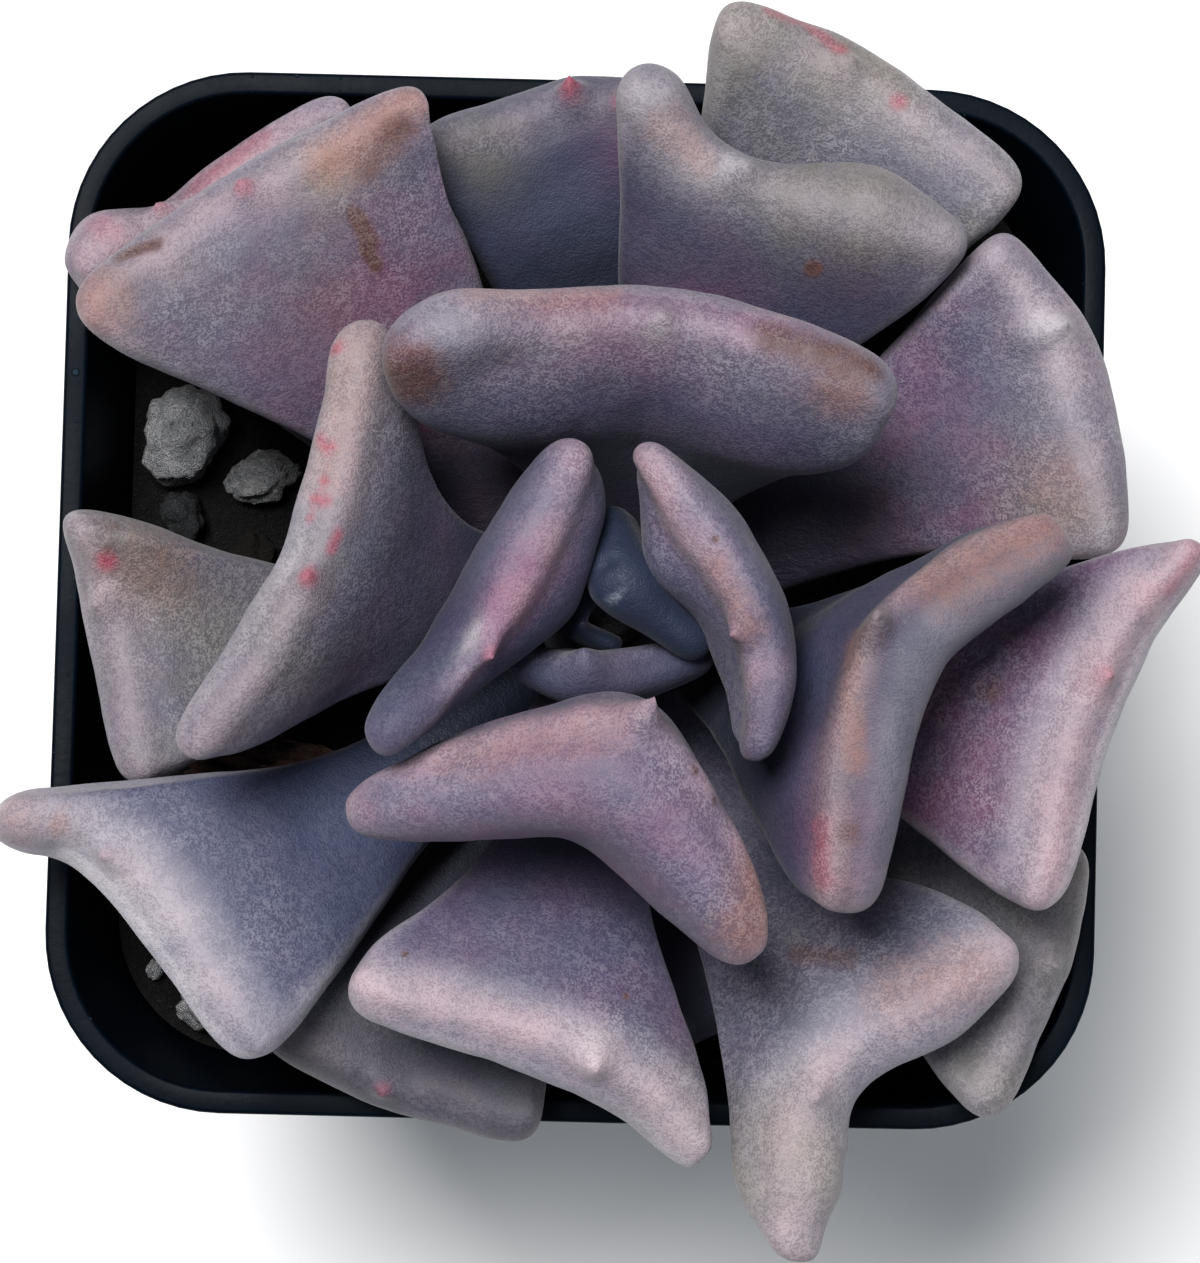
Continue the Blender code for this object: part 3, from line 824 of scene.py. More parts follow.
@dataclass(frozen=True)
class Pot:
    """Thin square nursery pot with round corners, a band below its rim and four drain holes."""

    side: float = 85.0
    base_side: float = 60.0
    height: float = 75.0
    corner: float = 14.5
    base_corner: float = 9.5
    wall: float = 1.2
    rim_proud: float = 0.7
    rim_depth: float = 7.0
    rim_bevel: float = 0.35
    foot_bevel: float = 0.8
    drain_radius: float = 4.0
    drain_spread: float = 17.0
    corner_steps: int = 14
    side_cuts: int = 13
    wall_steps: int = 16
    arc_steps: int = 4
    waviness: float = 0.16

    def wall_at(self, height: float) -> Ring:
        """Outline of the wall's outer face, without the band.

        Args:
            height: height above the pot's foot.

        Returns:
            The outline.
        """
        part = height / self.height
        top_side = self.side - 2 * self.rim_proud
        top_corner = self.corner - self.rim_proud
        return Ring(self.base_side + (top_side - self.base_side) * part,
                    self.base_corner + (top_corner - self.base_corner) * part, height)

    def arc(self, corner: Ring, radius: float, outer: bool, rising: bool) -> list[Ring]:
        """Outlines that round one edge of the profile by a quarter circle.

        Args:
            corner: the sharp edge's outline.
            radius: radius of the rounding.
            outer: whether the solid lies on the inner side of the outline.
            rising: whether the profile goes up to the edge.

        Returns:
            The outlines in order.
        """
        rings = []
        inward = -1.0 if outer else 1.0
        for step in range(self.arc_steps + 1):
            angle = math.radians(90) * step / self.arc_steps
            across, down = 1 - math.cos(angle), 1 - math.sin(angle)
            if not rising:
                across, down = 1 - math.sin(angle), 1 - math.cos(angle)
            rings.append(corner.grown(inward * radius * across, corner.height - radius * down))
        return rings

    def profile(self) -> list[Ring]:
        """Outlines from the foot up the outside, over the rim and down the inside.

        Returns:
            The outlines in order.
        """
        band_foot = self.height - self.rim_depth
        bevel = self.foot_bevel
        foot = self.wall_at(0.0)
        rings = []
        for step in range(self.arc_steps + 1):
            angle = math.radians(90) * step / self.arc_steps
            rings.append(foot.grown(-bevel * (1 - math.sin(angle)), bevel * (1 - math.cos(angle))))
        for step in range(1, self.wall_steps + 1):
            rings.append(self.wall_at(bevel + (band_foot - bevel) * step / self.wall_steps))
        proud = self.rim_proud
        for lift, out in ((0.25, 0.08), (proud, proud - 0.12), (1.0, proud), (3.5, proud)):
            level = band_foot + lift
            rings.append(self.wall_at(level).grown(out, level))
        rings += self.arc(Ring(self.side, self.corner, self.height), self.rim_bevel, outer=True, rising=True)
        inside = self.wall_at(self.height).grown(-self.wall, self.height)
        rings += self.arc(inside, self.rim_bevel, outer=False, rising=False)
        brink, drop = self.height - self.rim_bevel, self.wall - self.height + self.rim_bevel
        for step in range(1, self.wall_steps + 1):
            level = brink + drop * step / self.wall_steps
            rings.append(self.wall_at(level).grown(-self.wall, level))
        return rings

    def wave(self, bm: BMesh) -> None:
        """Bow the thin walls a little, most at their tops.

        Args:
            bm: the pot's shape.
        """
        for vert in bm.verts:
            share = (vert.co.z / self.height) ** 2
            bend = noise.noise(Vector((vert.co.x / 34, vert.co.y / 34, vert.co.z / 60 + 4.0)))
            outward = Vector((vert.co.x, vert.co.y, 0.0)).normalized()
            vert.co += outward * bend * self.waviness * share

    def build(self, material: Material) -> None:
        """Build the pot.

        Args:
            material: its plastic.
        """
        rings = self.profile()
        bm, face = rings[0].start(self.corner_steps, self.side_cuts)
        for before, after in zip(rings, rings[1:]):
            face = extruded(bm, face)
            for vert in face.verts:
                vert.co = before.moved(vert.co, after)
        self.wave(bm)
        bmesh.ops.recalc_face_normals(bm, faces=bm.faces)
        pot = draft("pot_shell", bm)
        cutters = [self.cutter(x, y) for x in (-1, 1) for y in (-1, 1)]
        for cutter in cutters:
            cut = pot.modifiers.new("drain", "BOOLEAN")
            cut.object = cutter
            cut.operation = "DIFFERENCE"
        mesh = settled(pot)
        for cutter in cutters:
            bpy.data.objects.remove(cutter)
        as_piece("pot_body", mesh, material, "pot_plastic", "pot", smooth_angle=32)

    def cutter(self, x: int, y: int) -> bpy.types.Object:
        """Make the round plug that cuts one drain hole.

        Args:
            x: side of the pot along X, -1 or 1.
            y: side of the pot along Y, -1 or 1.

        Returns:
            The plug.
        """
        bm = bmesh.new()
        place = Matrix.Translation((x * self.drain_spread, y * self.drain_spread, 0.0))
        bmesh.ops.create_cone(bm, cap_ends=True, segments=40, radius1=self.drain_radius,
                              radius2=self.drain_radius, depth=self.wall * 5, matrix=place)
        return draft("drain_plug", bm)


@dataclass(frozen=True)
class Bit:
    """Place and size of something that lies on the soil."""

    x: float
    y: float
    long: float
    wide: float
    high: float
    turn: float

    def frame(self, level: float) -> Matrix:
        """Matrix from the bit's own unit space, which stands on its sole, to the part."""
        turn = Matrix.Rotation(math.radians(self.turn), 4, "Z")
        return Matrix.Translation((self.x, self.y, level + GAP)) @ turn


PERLITE = (
    Bit(-33.7, 13.7, 8.4, 6.6, 5.0, 70),
    Bit(-27.1, 10.4, 6.2, 4.4, 3.6, 20),
    Bit(-33.6, 7.0, 4.4, 3.6, 3.0, 120),
    Bit(-30.6, -34.2, 4.4, 3.8, 3.2, 0),
    Bit(-34.8, -31.2, 1.8, 1.5, 1.3, 40),
    Bit(33.4, -33.4, 2.2, 1.8, 1.6, 15),
)
SHADED_PERLITE = 3  # number of the grain that lies in shade; its darker finish is painted shade
BARK = Bit(-28.6, 2.0, 8.0, 4.0, 2.4, 65)
DRY_LEAF = Bit(-26.5, -14.0, 12.0, 5.5, 3.0, -6)
FIBRE_POINTS = ((-28.0, -35.6), (-26.4, -36.3), (-24.4, -36.0), (-22.4, -36.8), (-20.4, -36.4))


@dataclass(frozen=True)
class Stem:
    """Short stem that carries the leaves, ringed where old leaves have fallen."""

    x: float = 3.0
    y: float = -2.0
    radius: float = 6.0
    tip_radius: float = 2.2
    foot: float = 39.3
    top: float = 90.5
    taper: float = 11.0
    bevel: float = 0.8
    bud: float = 1.0
    sides: int = 44
    ring_gap: float = 2.3
    ring_depth: float = 0.28
    step: float = 0.55
    tip_run: float = 0.6

    def radius_at(self, height: float) -> float:
        """Radius of the stem's plain form."""
        part = (height - (self.top - self.taper)) / (self.taper - self.bud)
        return self.radius + (self.tip_radius - self.radius) * min(1.0, max(0.0, part))

    def about(self, bearing: float, reach: float, height: float) -> Vector:
        """Find a point from its place about the stem's axis."""
        angle = math.radians(bearing)
        return Vector((self.x + reach * math.cos(angle), self.y + reach * math.sin(angle), height))

    def profile(self) -> list[tuple[float, float]]:
        """Heights and radii from the foot to the tip.

        Returns:
            The profile's pairs in order.
        """
        pairs = [(self.foot + self.bevel * (1 - math.cos(a)), self.radius - self.bevel * (1 - math.sin(a)))
                 for a in (0.0, 0.5, 1.05, 1.57)]
        level = self.foot + self.bevel
        while level < self.top - self.bud - self.tip_run:
            level += self.step
            dent = self.ring_depth * max(0.0, math.cos(math.tau * level / self.ring_gap)) ** 3
            pairs.append((level, self.radius_at(level) - dent))
        for angle in (0.2, 0.55, 0.9, 1.25, 1.5):
            pairs.append((self.top - self.bud * (1 - math.sin(angle)), self.tip_radius * math.cos(angle)))
        return pairs

    def build(self, material: Material) -> None:
        """Build the stem.

        Args:
            material: its bark.
        """
        pairs = self.profile()
        bm = bmesh.new()
        height, radius = pairs[0]
        centre = Vector((self.x, self.y, 0.0))
        bmesh.ops.create_circle(bm, cap_ends=True, segments=self.sides, radius=radius,
                                matrix=Matrix.Translation(centre + Vector((0.0, 0.0, height))))
        bm.faces.ensure_lookup_table()
        face = bm.faces[0]
        for (height, radius), (after, wider) in zip(pairs, pairs[1:]):
            face = extruded(bm, face)
            bmesh.ops.translate(bm, vec=(0.0, 0.0, after - height), verts=face.verts)
            bmesh.ops.scale(bm, vec=(wider / radius, wider / radius, 1.0), verts=face.verts,
                            space=Matrix.Translation(-centre))
        mesh = closed(bm)
        rough = -0.12 * np.abs(lumps(rows_of(mesh, "co"), 2.6, seed=3.0, octaves=2))
        as_piece("stem_bark", roughened(mesh, rough), material, "stem_bark", "stem", smooth_angle=60)


@dataclass(frozen=True)
class Soil:
    """Plug of dark peat: a rough top with crumbs and short fibres, level where something lies on it."""

    pot: Pot
    stem: Stem
    level: float = 61.0
    roughness: float = 1.6
    lump: float = 9.0
    crumb: float = 3.5
    crumb_share: float = 0.45
    seat_share: float = 0.55
    seat_softening: float = 2.5
    hole_depth: float = 22.0
    fine_relief: float = 0.75
    grit: float = 2.1
    fine_grit: float = 0.9
    fine_share: float = 0.6
    wall_calm: float = 14.0
    hole_calm: float = 10.0
    corner: float = 9.0
    rings: int = 60
    corner_steps: int = 18
    side_cuts: int = 55
    crumbs: int = 620
    fibres: int = 70
    seed: int = 11

    def openness(self, x: float, y: float) -> float:
        """Tell open soil from the level seats under the bits.

        Args:
            x: position along X.
            y: position along Y.

        Returns:
            1 on open soil and 0 on a seat.
        """
        share = 1.0
        for bit in (*PERLITE, BARK, DRY_LEAF):
            distance = math.hypot(x - bit.x, y - bit.y) - bit.long * self.seat_share
            part = min(1.0, max(0.0, 1.0 - distance / self.seat_softening))
            share *= 1.0 - part * part * (3 - 2 * part)
        return share

    def height(self, x: float, y: float) -> float:
        """Height of the soil's coarse form.

        Args:
            x: position along X.
            y: position along Y.

        Returns:
            The height.
        """
        lump = waves(self.lump, x, y, 1.7)
        crumb = waves(self.crumb, x, y, 8.1)
        return self.level + self.roughness * (lump + self.crumb_share * crumb) * self.openness(x, y)

    def build(self, material: Material) -> None:
        """Build the plug, its crumbs and its fibres.

        Args:
            material: the peat.
        """
        clear = self.pot.wall + GAP
        bottom = self.pot.wall_at(clear).grown(-clear, clear)
        top = self.pot.wall_at(self.level).grown(-clear, self.level)
        bm, face = bottom.start(self.corner_steps, self.side_cuts)
        face = extruded(bm, face)
        for vert in face.verts:
            vert.co = bottom.moved(vert.co, top)
        self.lay_top(bm, face)
        as_piece("soil_peat", closed(bm), material, "peat", "soil", smooth_angle=80)
        self.scatter(material)

    def lay_top(self, bm: BMesh, face: BMFace) -> None:
        """Carry the top inwards ring by ring to the stem's hole, and close the hole.

        Args:
            bm: the plug's shape.
            face: its flat top.
        """
        axis = Vector((self.stem.x, self.stem.y, self.level))
        outer = [vert.co.copy() for vert in face.verts]
        inner = [axis + (point - axis).normalized() * (self.stem.radius + GAP) for point in outer]
        for ring in range(1, self.rings + 1):
            face = extruded(bm, face)
            part = ring / self.rings
            for vert, start, end in zip(face.verts, outer, inner):
                vert.co = start.lerp(end, part)
                vert.co.z = self.rough_height(vert.co.x, vert.co.y, part)
        face = extruded(bm, face)
        for vert in face.verts:
            vert.co.z = self.level - self.hole_depth

    def rough_height(self, x: float, y: float, part: float) -> float:
        """Height of the soil's top with its fine grit.

        Args:
            x: position along X.
            y: position along Y.
            part: 0 at the pot's wall and 1 at the stem's hole.

        Returns:
            The height.
        """
        grit = waves(self.grit, x, y, 5.3) + self.fine_share * waves(self.fine_grit, x, y, 2.9)
        settle = min(1.0, part * self.wall_calm) * min(1.0, (1.0 - part) * self.hole_calm)
        coarse = self.height(x, y) - self.level
        return self.level + (coarse + self.fine_relief * grit * self.openness(x, y)) * settle

    def spot(self, draw: random.Random, margin: float) -> Vector:
        """Pick a free place on the soil.

        Args:
            draw: the seeded random numbers.
            margin: distance kept from the wall, the stem and the bits.

        Returns:
            The place, on the coarse surface.
        """
        half = self.pot.wall_at(self.level).side / 2 - self.pot.wall - GAP - margin
        while True:
            x, y = draw.uniform(-half, half), draw.uniform(-half, half)
            past = [max(0.0, abs(value) - half + self.corner) for value in (x, y)]
            rounded = math.hypot(*past) < self.corner
            from_stem = math.hypot(x - self.stem.x, y - self.stem.y) - self.stem.radius
            if rounded and from_stem > margin + 1.0 and self.openness(x, y) > 0.7:
                return Vector((x, y, self.height(x, y)))

    def scatter(self, material: Material) -> None:
        """Scatter peat crumbs and short fibres over the top.

        Args:
            material: the peat.
        """
        draw = random.Random(self.seed)
        bm = bmesh.new()
        for _ in range(self.crumbs):
            size = draw.uniform(0.35, 0.8) if draw.random() < 0.82 else draw.uniform(0.8, 1.35)
            turn = Matrix.Rotation(draw.uniform(0, math.tau), 4,
                                   Vector((draw.random(), draw.random(), 1)).normalized())
            form = Matrix.Diagonal((size, size * draw.uniform(0.5, 0.9), size * draw.uniform(0.35, 0.75),
                                    1.0))
            place = Matrix.Translation(self.spot(draw, size + 0.4) + Vector((0, 0, size * 0.25)))
            made = bmesh.ops.create_icosphere(bm, subdivisions=1, radius=1.0,
                                              matrix=place @ turn @ form)["verts"]
            for vert in made:
                vert.co += noise.noise_vector(vert.co * 0.9) * size * 0.55
        for _ in range(self.fibres):
            start = self.spot(draw, 4.5) + Vector((0, 0, 0.35))
            heading = Vector((draw.uniform(-1, 1), draw.uniform(-1, 1), 0.0)).normalized()
            path = [start]
            for _ in range(4):
                drift = Vector((draw.uniform(-0.5, 0.5), draw.uniform(-0.5, 0.5), draw.uniform(-0.2, 0.2)))
                heading = (heading + drift).normalized()
                path.append(path[-1] + heading * draw.uniform(0.5, 1.1))
            add_tube(bm, path, draw.uniform(0.07, 0.14), 5)
        as_piece("peat_crumbs", closed(bm), material, "peat")


@dataclass(frozen=True)
class Grain:
    """Grain that lies on the soil: a rough ball cut level below, with lumps like a cauliflower's."""

    bit: Bit
    seed: float
    bulge: float = 0.26
    bulge_size: float = 0.36
    bulge_level: float = 0.4
    relief: float = 0.28
    lump: float = 0.62
    fine_relief: float = 0.03
    fine_lump: float = 0.13
    sole: float = 0.62
    detail: int = 4

    def build(self, name: str, node: str, material: Material, slot: str, level: float) -> None:
        """Build the grain.

        Args:
            name: the piece's name.
            node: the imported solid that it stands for.
            material: its finish.
            slot: its material slot.
            level: height of the soil's level.
        """
        bm = bmesh.new()
        bmesh.ops.create_icosphere(bm, subdivisions=self.detail, radius=1.0)
        for vert in bm.verts:
            start = vert.co.copy()
            near = noise.voronoi(start / self.bulge_size + Vector((self.seed, 2.0, 0.0)))[0][0]
            fine = noise.noise(start / self.fine_lump)
            lump = noise.noise(start / self.lump + Vector((self.seed, 0.0, 0.0)))
            bulge = self.bulge * (self.bulge_level - near)
            vert.co *= 1.0 + self.relief * lump + bulge + self.fine_relief * fine
            vert.co.z = max(vert.co.z, -self.sole)
        bit = self.bit
        bmesh.ops.scale(bm, vec=(bit.long / 2, bit.wide / 2, bit.high / (1.0 + self.sole)), verts=bm.verts)
        lowest = min(vert.co.z for vert in bm.verts)
        bmesh.ops.transform(bm, matrix=bit.frame(level - lowest), verts=bm.verts)
        as_piece(name, settled(draft(name, bm)), material, slot, node, smooth_angle=70)


@dataclass(frozen=True)
class DryScrap:
    """Shrivelled scrap of an old leaf: a thin pleated sheet, drawn together at one end."""

    bit: Bit
    pleats: float = 4.5
    pleat_depth: float = 0.62
    thickness: float = 0.38
    columns: int = 72
    lines: int = 40

    def height_at(self, u: float, v: float) -> float:
        """Height of the sheet's middle surface above its sole.

        Args:
            u: place along the scrap, from -1 to 1.
            v: place across it, from -1 to 1.

        Returns:
            The height in millimetres.
        """
        arch = self.bit.high * 0.52 * (1.0 - 0.75 * v * v) * (1.0 - 0.5 * u * u)
        wander = 0.35 * noise.noise(Vector((u * 2.3, v * 1.2, 3.0)))
        fold = math.sin((v + wander) * self.pleats * math.pi) * self.pleat_depth * (1.0 - 0.45 * abs(u))
        return arch + fold * 0.5 + 0.45 * noise.noise(Vector((u * 4.0, v * 4.5, 9.0)))

    def build(self, material: Material, level: float) -> None:
        """Build the scrap.

        Args:
            material: the withered skin.
            level: height of the soil's level.
        """
        bm = bmesh.new()
        bmesh.ops.create_grid(bm, x_segments=self.columns, y_segments=self.lines, size=1.0)
        bit = self.bit
        for vert in bm.verts:
            u, v = vert.co.x, vert.co.y
            frayed = 1.0 + 0.16 * noise.noise(Vector((u * 3.0, 1.0 if v > 0 else 5.0, 0.0)))
            width = (0.55 + 0.45 * math.cos(u * 1.35 - 0.25)) * frayed
            length = 1.0 + 0.09 * noise.noise(Vector((v * 4.0, 2.0 if u > 0 else 6.0, 0.0)))
            vert.co = Vector((u * length * bit.long / 2, v * width * bit.wide / 2, self.height_at(u, v)))
        bmesh.ops.solidify(bm, geom=bm.faces[:], thickness=self.thickness)
        lowest = min(vert.co.z for vert in bm.verts)
        bmesh.ops.transform(bm, matrix=bit.frame(level - lowest), verts=bm.verts)
        as_piece("dry_scrap", closed(bm), material, "withered_leaf", "dry_leaf", smooth_angle=75)


@dataclass(frozen=True)
class RootFibre:
    """Thin pale fibre that wanders over the soil."""

    radius: float = 0.4
    lift: float = 0.5
    steps: int = 9

    def build(self, material: Material, soil: Soil) -> None:
        """Build the fibre.

        Args:
            material: its finish.
            soil: the soil that it lies on.
        """
        knots = [Vector((x, y, soil.height(x, y) + GAP + self.radius + self.lift)) for x, y in FIBRE_POINTS]
        path = []
        last = len(knots) - 1
        for index in range(last):
            before, start, end, after = (knots[max(0, min(last, index + shift))] for shift in (-1, 0, 1, 2))
            for step in range(self.steps):
                part = step / self.steps
                entry, leave = start + (end - before) / 6, end - (after - start) / 6
                path.append(cubic(start, entry, leave, end, part))
        path.append(knots[-1])
        bm = bmesh.new()
        add_tube(bm, path, self.radius, 10)
        mesh = closed(bm)
        rough = 0.09 * lumps(rows_of(mesh, "co"), 0.9, seed=7.0)
        as_piece("pale_fibre", roughened(mesh, rough), material, "fibre", "root_fibre")


def cubic(a: Vector, b: Vector, c: Vector, d: Vector, part: float) -> Vector:
    """Point of a cubic curve."""
    rest = 1.0 - part
    return a * rest ** 3 + b * 3 * rest * rest * part + c * 3 * rest * part * part + d * part ** 3


# Leaves


class Trait(Enum):
    """What a mark paints on a leaf's skin, or how it moves its surface."""

    TAN = "tan"
    BROWN = "brown"
    RED = "red"
    CRUST = "crust"
    ROSE = "rose"
    SLATE = "slate"
    PALE = "margin"
    SCAR = "scar"
    SWELL = "swell"
    SINK = "sink"
    OLIVE = "olive"


@dataclass(frozen=True)
class Mark:
    """One mark, most of them weathering: a spot, or a streak between two places of a leaf's face.

    A place is (across, along, face): across runs from -1 at the left edge to 1 at the right one, along from 0
    at the stem to 1 at the margin, and face from 1 on the inner face to -1 on the outer one. The strength is
    a share from 0 to 1, or millimetres for a swell or a sink.
    """

    trait: Trait
    start: Spot
    radius: float
    strength: float = 1.0
    end: Spot | None = None


@dataclass(frozen=True)
class Look:
    """A leaf's complexion, painted shade and marks: shares from 0 to 1, but beak, fade and plump are
    millimetres.
    """

    slate: float = 0.5
    rose: float = 0.35
    olive: float = 0.2
    bloom: float = 0.6
    band: float = 0.35
    ridge: float = 0.55
    # painted shade: how dark the leaf is painted towards the stem
    depth: float = 0.95
    # share of the way from the margin to the stem where the painted shade and the deeper slate begin
    shade_start: float = 0.34
    # painted shadow: the least painted shade over the whole leaf, where other leaves shade it
    painted_shadow: float = 0.0
    tip: float = 0.6
    wrinkle: float = 0.0
    beak: float = 1.6
    fade: float = 2.5
    plump: float = 0.0
    slim: float = 0.0
    marks: tuple[Mark, ...] = ()


@dataclass(frozen=True)
class LeafPlan:
    """Where a leaf grows, where the middle of its margin and its two horns are, and how it is shaped.

    The three places are (bearing, reach, height) about the stem's axis.
    """

    number: int
    turn: int
    bearing: float
    point: Spot
    left: Spot
    right: Spot
    thick: float
    horn: float
    blunt: float
    waist: float
    sway: float
    bow: float
    ridge: float = 0.5


LEAVES = (
    LeafPlan(1, 0, 137, (140, 49, 78.5), (147, 50.5, 77.5), (121, 46.5, 77.5), 7, 7, 2, 0.28, 0, -2),
    LeafPlan(2, 1, 278, (279, 34, 72.5), (285, 32.5, 71.5), (271, 35, 71.5), 5.5, 6, 1.5, 0.45, 0, -1),
    LeafPlan(3, 2, 64, (69, 48, 83), (79, 47, 82), (50, 45.5, 81), 7, 8.5, 2.5, 0.30, 0, -2),
    LeafPlan(4, 3, 181, (179, 40.5, 81), (198, 39, 80), (173, 42, 80.5), 7, 6.5, 2.5, 0.20, 1, -2),
    LeafPlan(5, 4, 316, (323, 44, 81), (331, 40, 80), (309, 47, 80), 7, 8, 2, 0.28, 0, -2),
    LeafPlan(6, 5, 97, (96, 42, 84), (112, 39.5, 82), (84, 41, 82), 7, 8, 1, 0.26, 0, -2),
    LeafPlan(7, 6, 244, (245, 41.5, 82), (260, 39.5, 81), (234, 41, 81), 7, 8, 2, 0.28, 0, -2),
    LeafPlan(8, 7, 28, (35, 41, 87), (43, 40.5, 85.5), (11, 38.5, 84.5), 7, 7, 2.5, 0.30, 0, -2),
    LeafPlan(9, 9, 298, (292, 39.5, 90), (319, 39.5, 86), (287, 49.5, 87), 7.5, 8.5, 3, 0.20, 1.5, -2),
    LeafPlan(10, 10, 68, (76, 35, 92), (87, 39, 90), (50, 38.5, 88), 7.5, 8, -0.5, 0.28, 0, -2),
    LeafPlan(11, 11, 210, (206, 42.5, 89), (231, 42.5, 88), (201, 47, 87), 7.5, 6.5, 5, 0.17, 6, -2),
    LeafPlan(12, 12, 347, (354, 36.5, 94), (6, 43, 93), (328, 38.5, 92), 7.5, 6, 3, 0.24, -3, -2),
    LeafPlan(13, 13, 133, (133, 43.5, 92), (151, 45.5, 90), (113, 41.5, 90), 7.5, 8.5, 2.5, 0.28, 0, -2),
    LeafPlan(14, 14, 261, (270, 34, 94), (279, 40.5, 90), (239, 34.5, 92), 7.5, 6.5, 3, 0.20, -1.5, -2),
    LeafPlan(15, 16, 165, (179, 22, 101), (199, 33, 97.5), (137, 27, 96), 7, 6, 1.2, 0.22, 2.5, -2),
    LeafPlan(16, 17, 338, (358, 17, 104), (8, 32, 99.5), (309, 27.5, 99.5), 9.5, 7.5, 5, 0.22, -3, -3.5),
    LeafPlan(17, 18, 83, (82, 20.5, 104), (133, 23.5, 101.5), (39, 24, 99.5), 8.5, 14.5, -1, 0.40, 0, -1),
    LeafPlan(18, 19, 252, (294, 7.5, 107), (290, 27, 101), (223, 24.5, 99), 11.5, 9, 2, 0.20, 0, -11.5),
    LeafPlan(19, 20, 15, (343, 10, 107), (75, 9.5, 104), (316, 14, 104), 7.5, 8, 0, 0.20, 0, -3.3, 0.12),
    LeafPlan(20, 21, 155, (213, 10.5, 107.5), (213, 19, 105.5), (113, 10, 104), 8.4, 8, -1.5, 0.26, 0, -2.2,
             0.15),
    LeafPlan(21, 22, 280, (241, 5, 98), (319, 6.5, 93.5), (223, 7.5, 95.5), 4, 5.5, 1.5, 0.20, 0, 0.8),
    LeafPlan(22, 23, 64, (159, 1.5, 99), (92, 4.5, 97), (340, 5.1, 97), 3.6, 5, 1, 0.25, 0, 0.6),
    LeafPlan(23, 24, 200, (215, 2.8, 96), (237, 3, 95), (188, 2.4, 95), 2.2, 3, 0.3, 0.30, 0, 0),
)


@dataclass(frozen=True)
class LeafForm:
    """Sizes that all the leaves share."""

    first_height: float = 64.5
    rise: float = 1.0
    base_half_width: float = 3.3
    base_thick: float = 2.3
    base_share: float = 0.65
    base_lean: float = 0.25
    edge_thinning: float = 0.40
    fold_power: float = 1.35
    waist_plumpness: float = 0.7
    mucro: float = 1.6
    horn_length: float = 2.4
    horn_taper: float = 0.55
    horn_splay: float = 0.8
    horn_bluntness: float = 0.5
    margin_band: float = 1.35
    margin_reach: float = 0.72
    margin_taper: float = 0.92
    level_run: float = 0.3
    level_lead: float = 1.0
    early_rise: float = 0.22
    bow_place: float = 0.68
    waist_place: float = 0.5
    waist_turn: float = 0.6
    columns: tuple[float, ...] = (-1.0, -0.8, -0.4, 0.0, 0.4, 0.8, 1.0)
    lines: tuple[float, ...] = (0.0, 0.5, 0.8, 1.0)
    detail: int = 4
    crest: float = 0.42
    crest_width: float = 1.2
    groove: float = 0.2
    crest_floor: float = 0.3
    groove_place: float = 2.3
    swell: float = 0.32
    swell_size: float = 10.5
    ripple: float = 0.12
    ripple_size: float = 4.0
    streak_size: float = 3.4
    beak_radius: float = 2.3
    scar_depth: float = 0.32
    ridge_width: float = 2.1
    outer_fade: float = 4.2
    tip_radius: float = 0.95
    # how far the painted shade takes to deepen towards the stem, as a share of the leaf's length
    shade_run: float = 0.36


@dataclass(frozen=True)
class Row:
    """One line across a leaf's middle surface."""

    centre: Vector
    left: Vector
    right: Vector
    thick: float

    def at(self, across: float, power: float) -> Vector:
        """Point of the line.

        Args:
            across: place from -1 at the left edge to 1 at the right one.
            power: roundness of the fold along the leaf's middle.

        Returns:
            The point.
        """
        half = (self.right - self.left) / 2
        fold = (self.left + self.right) / 2 - self.centre
        return self.centre + half * across + fold * abs(across) ** power


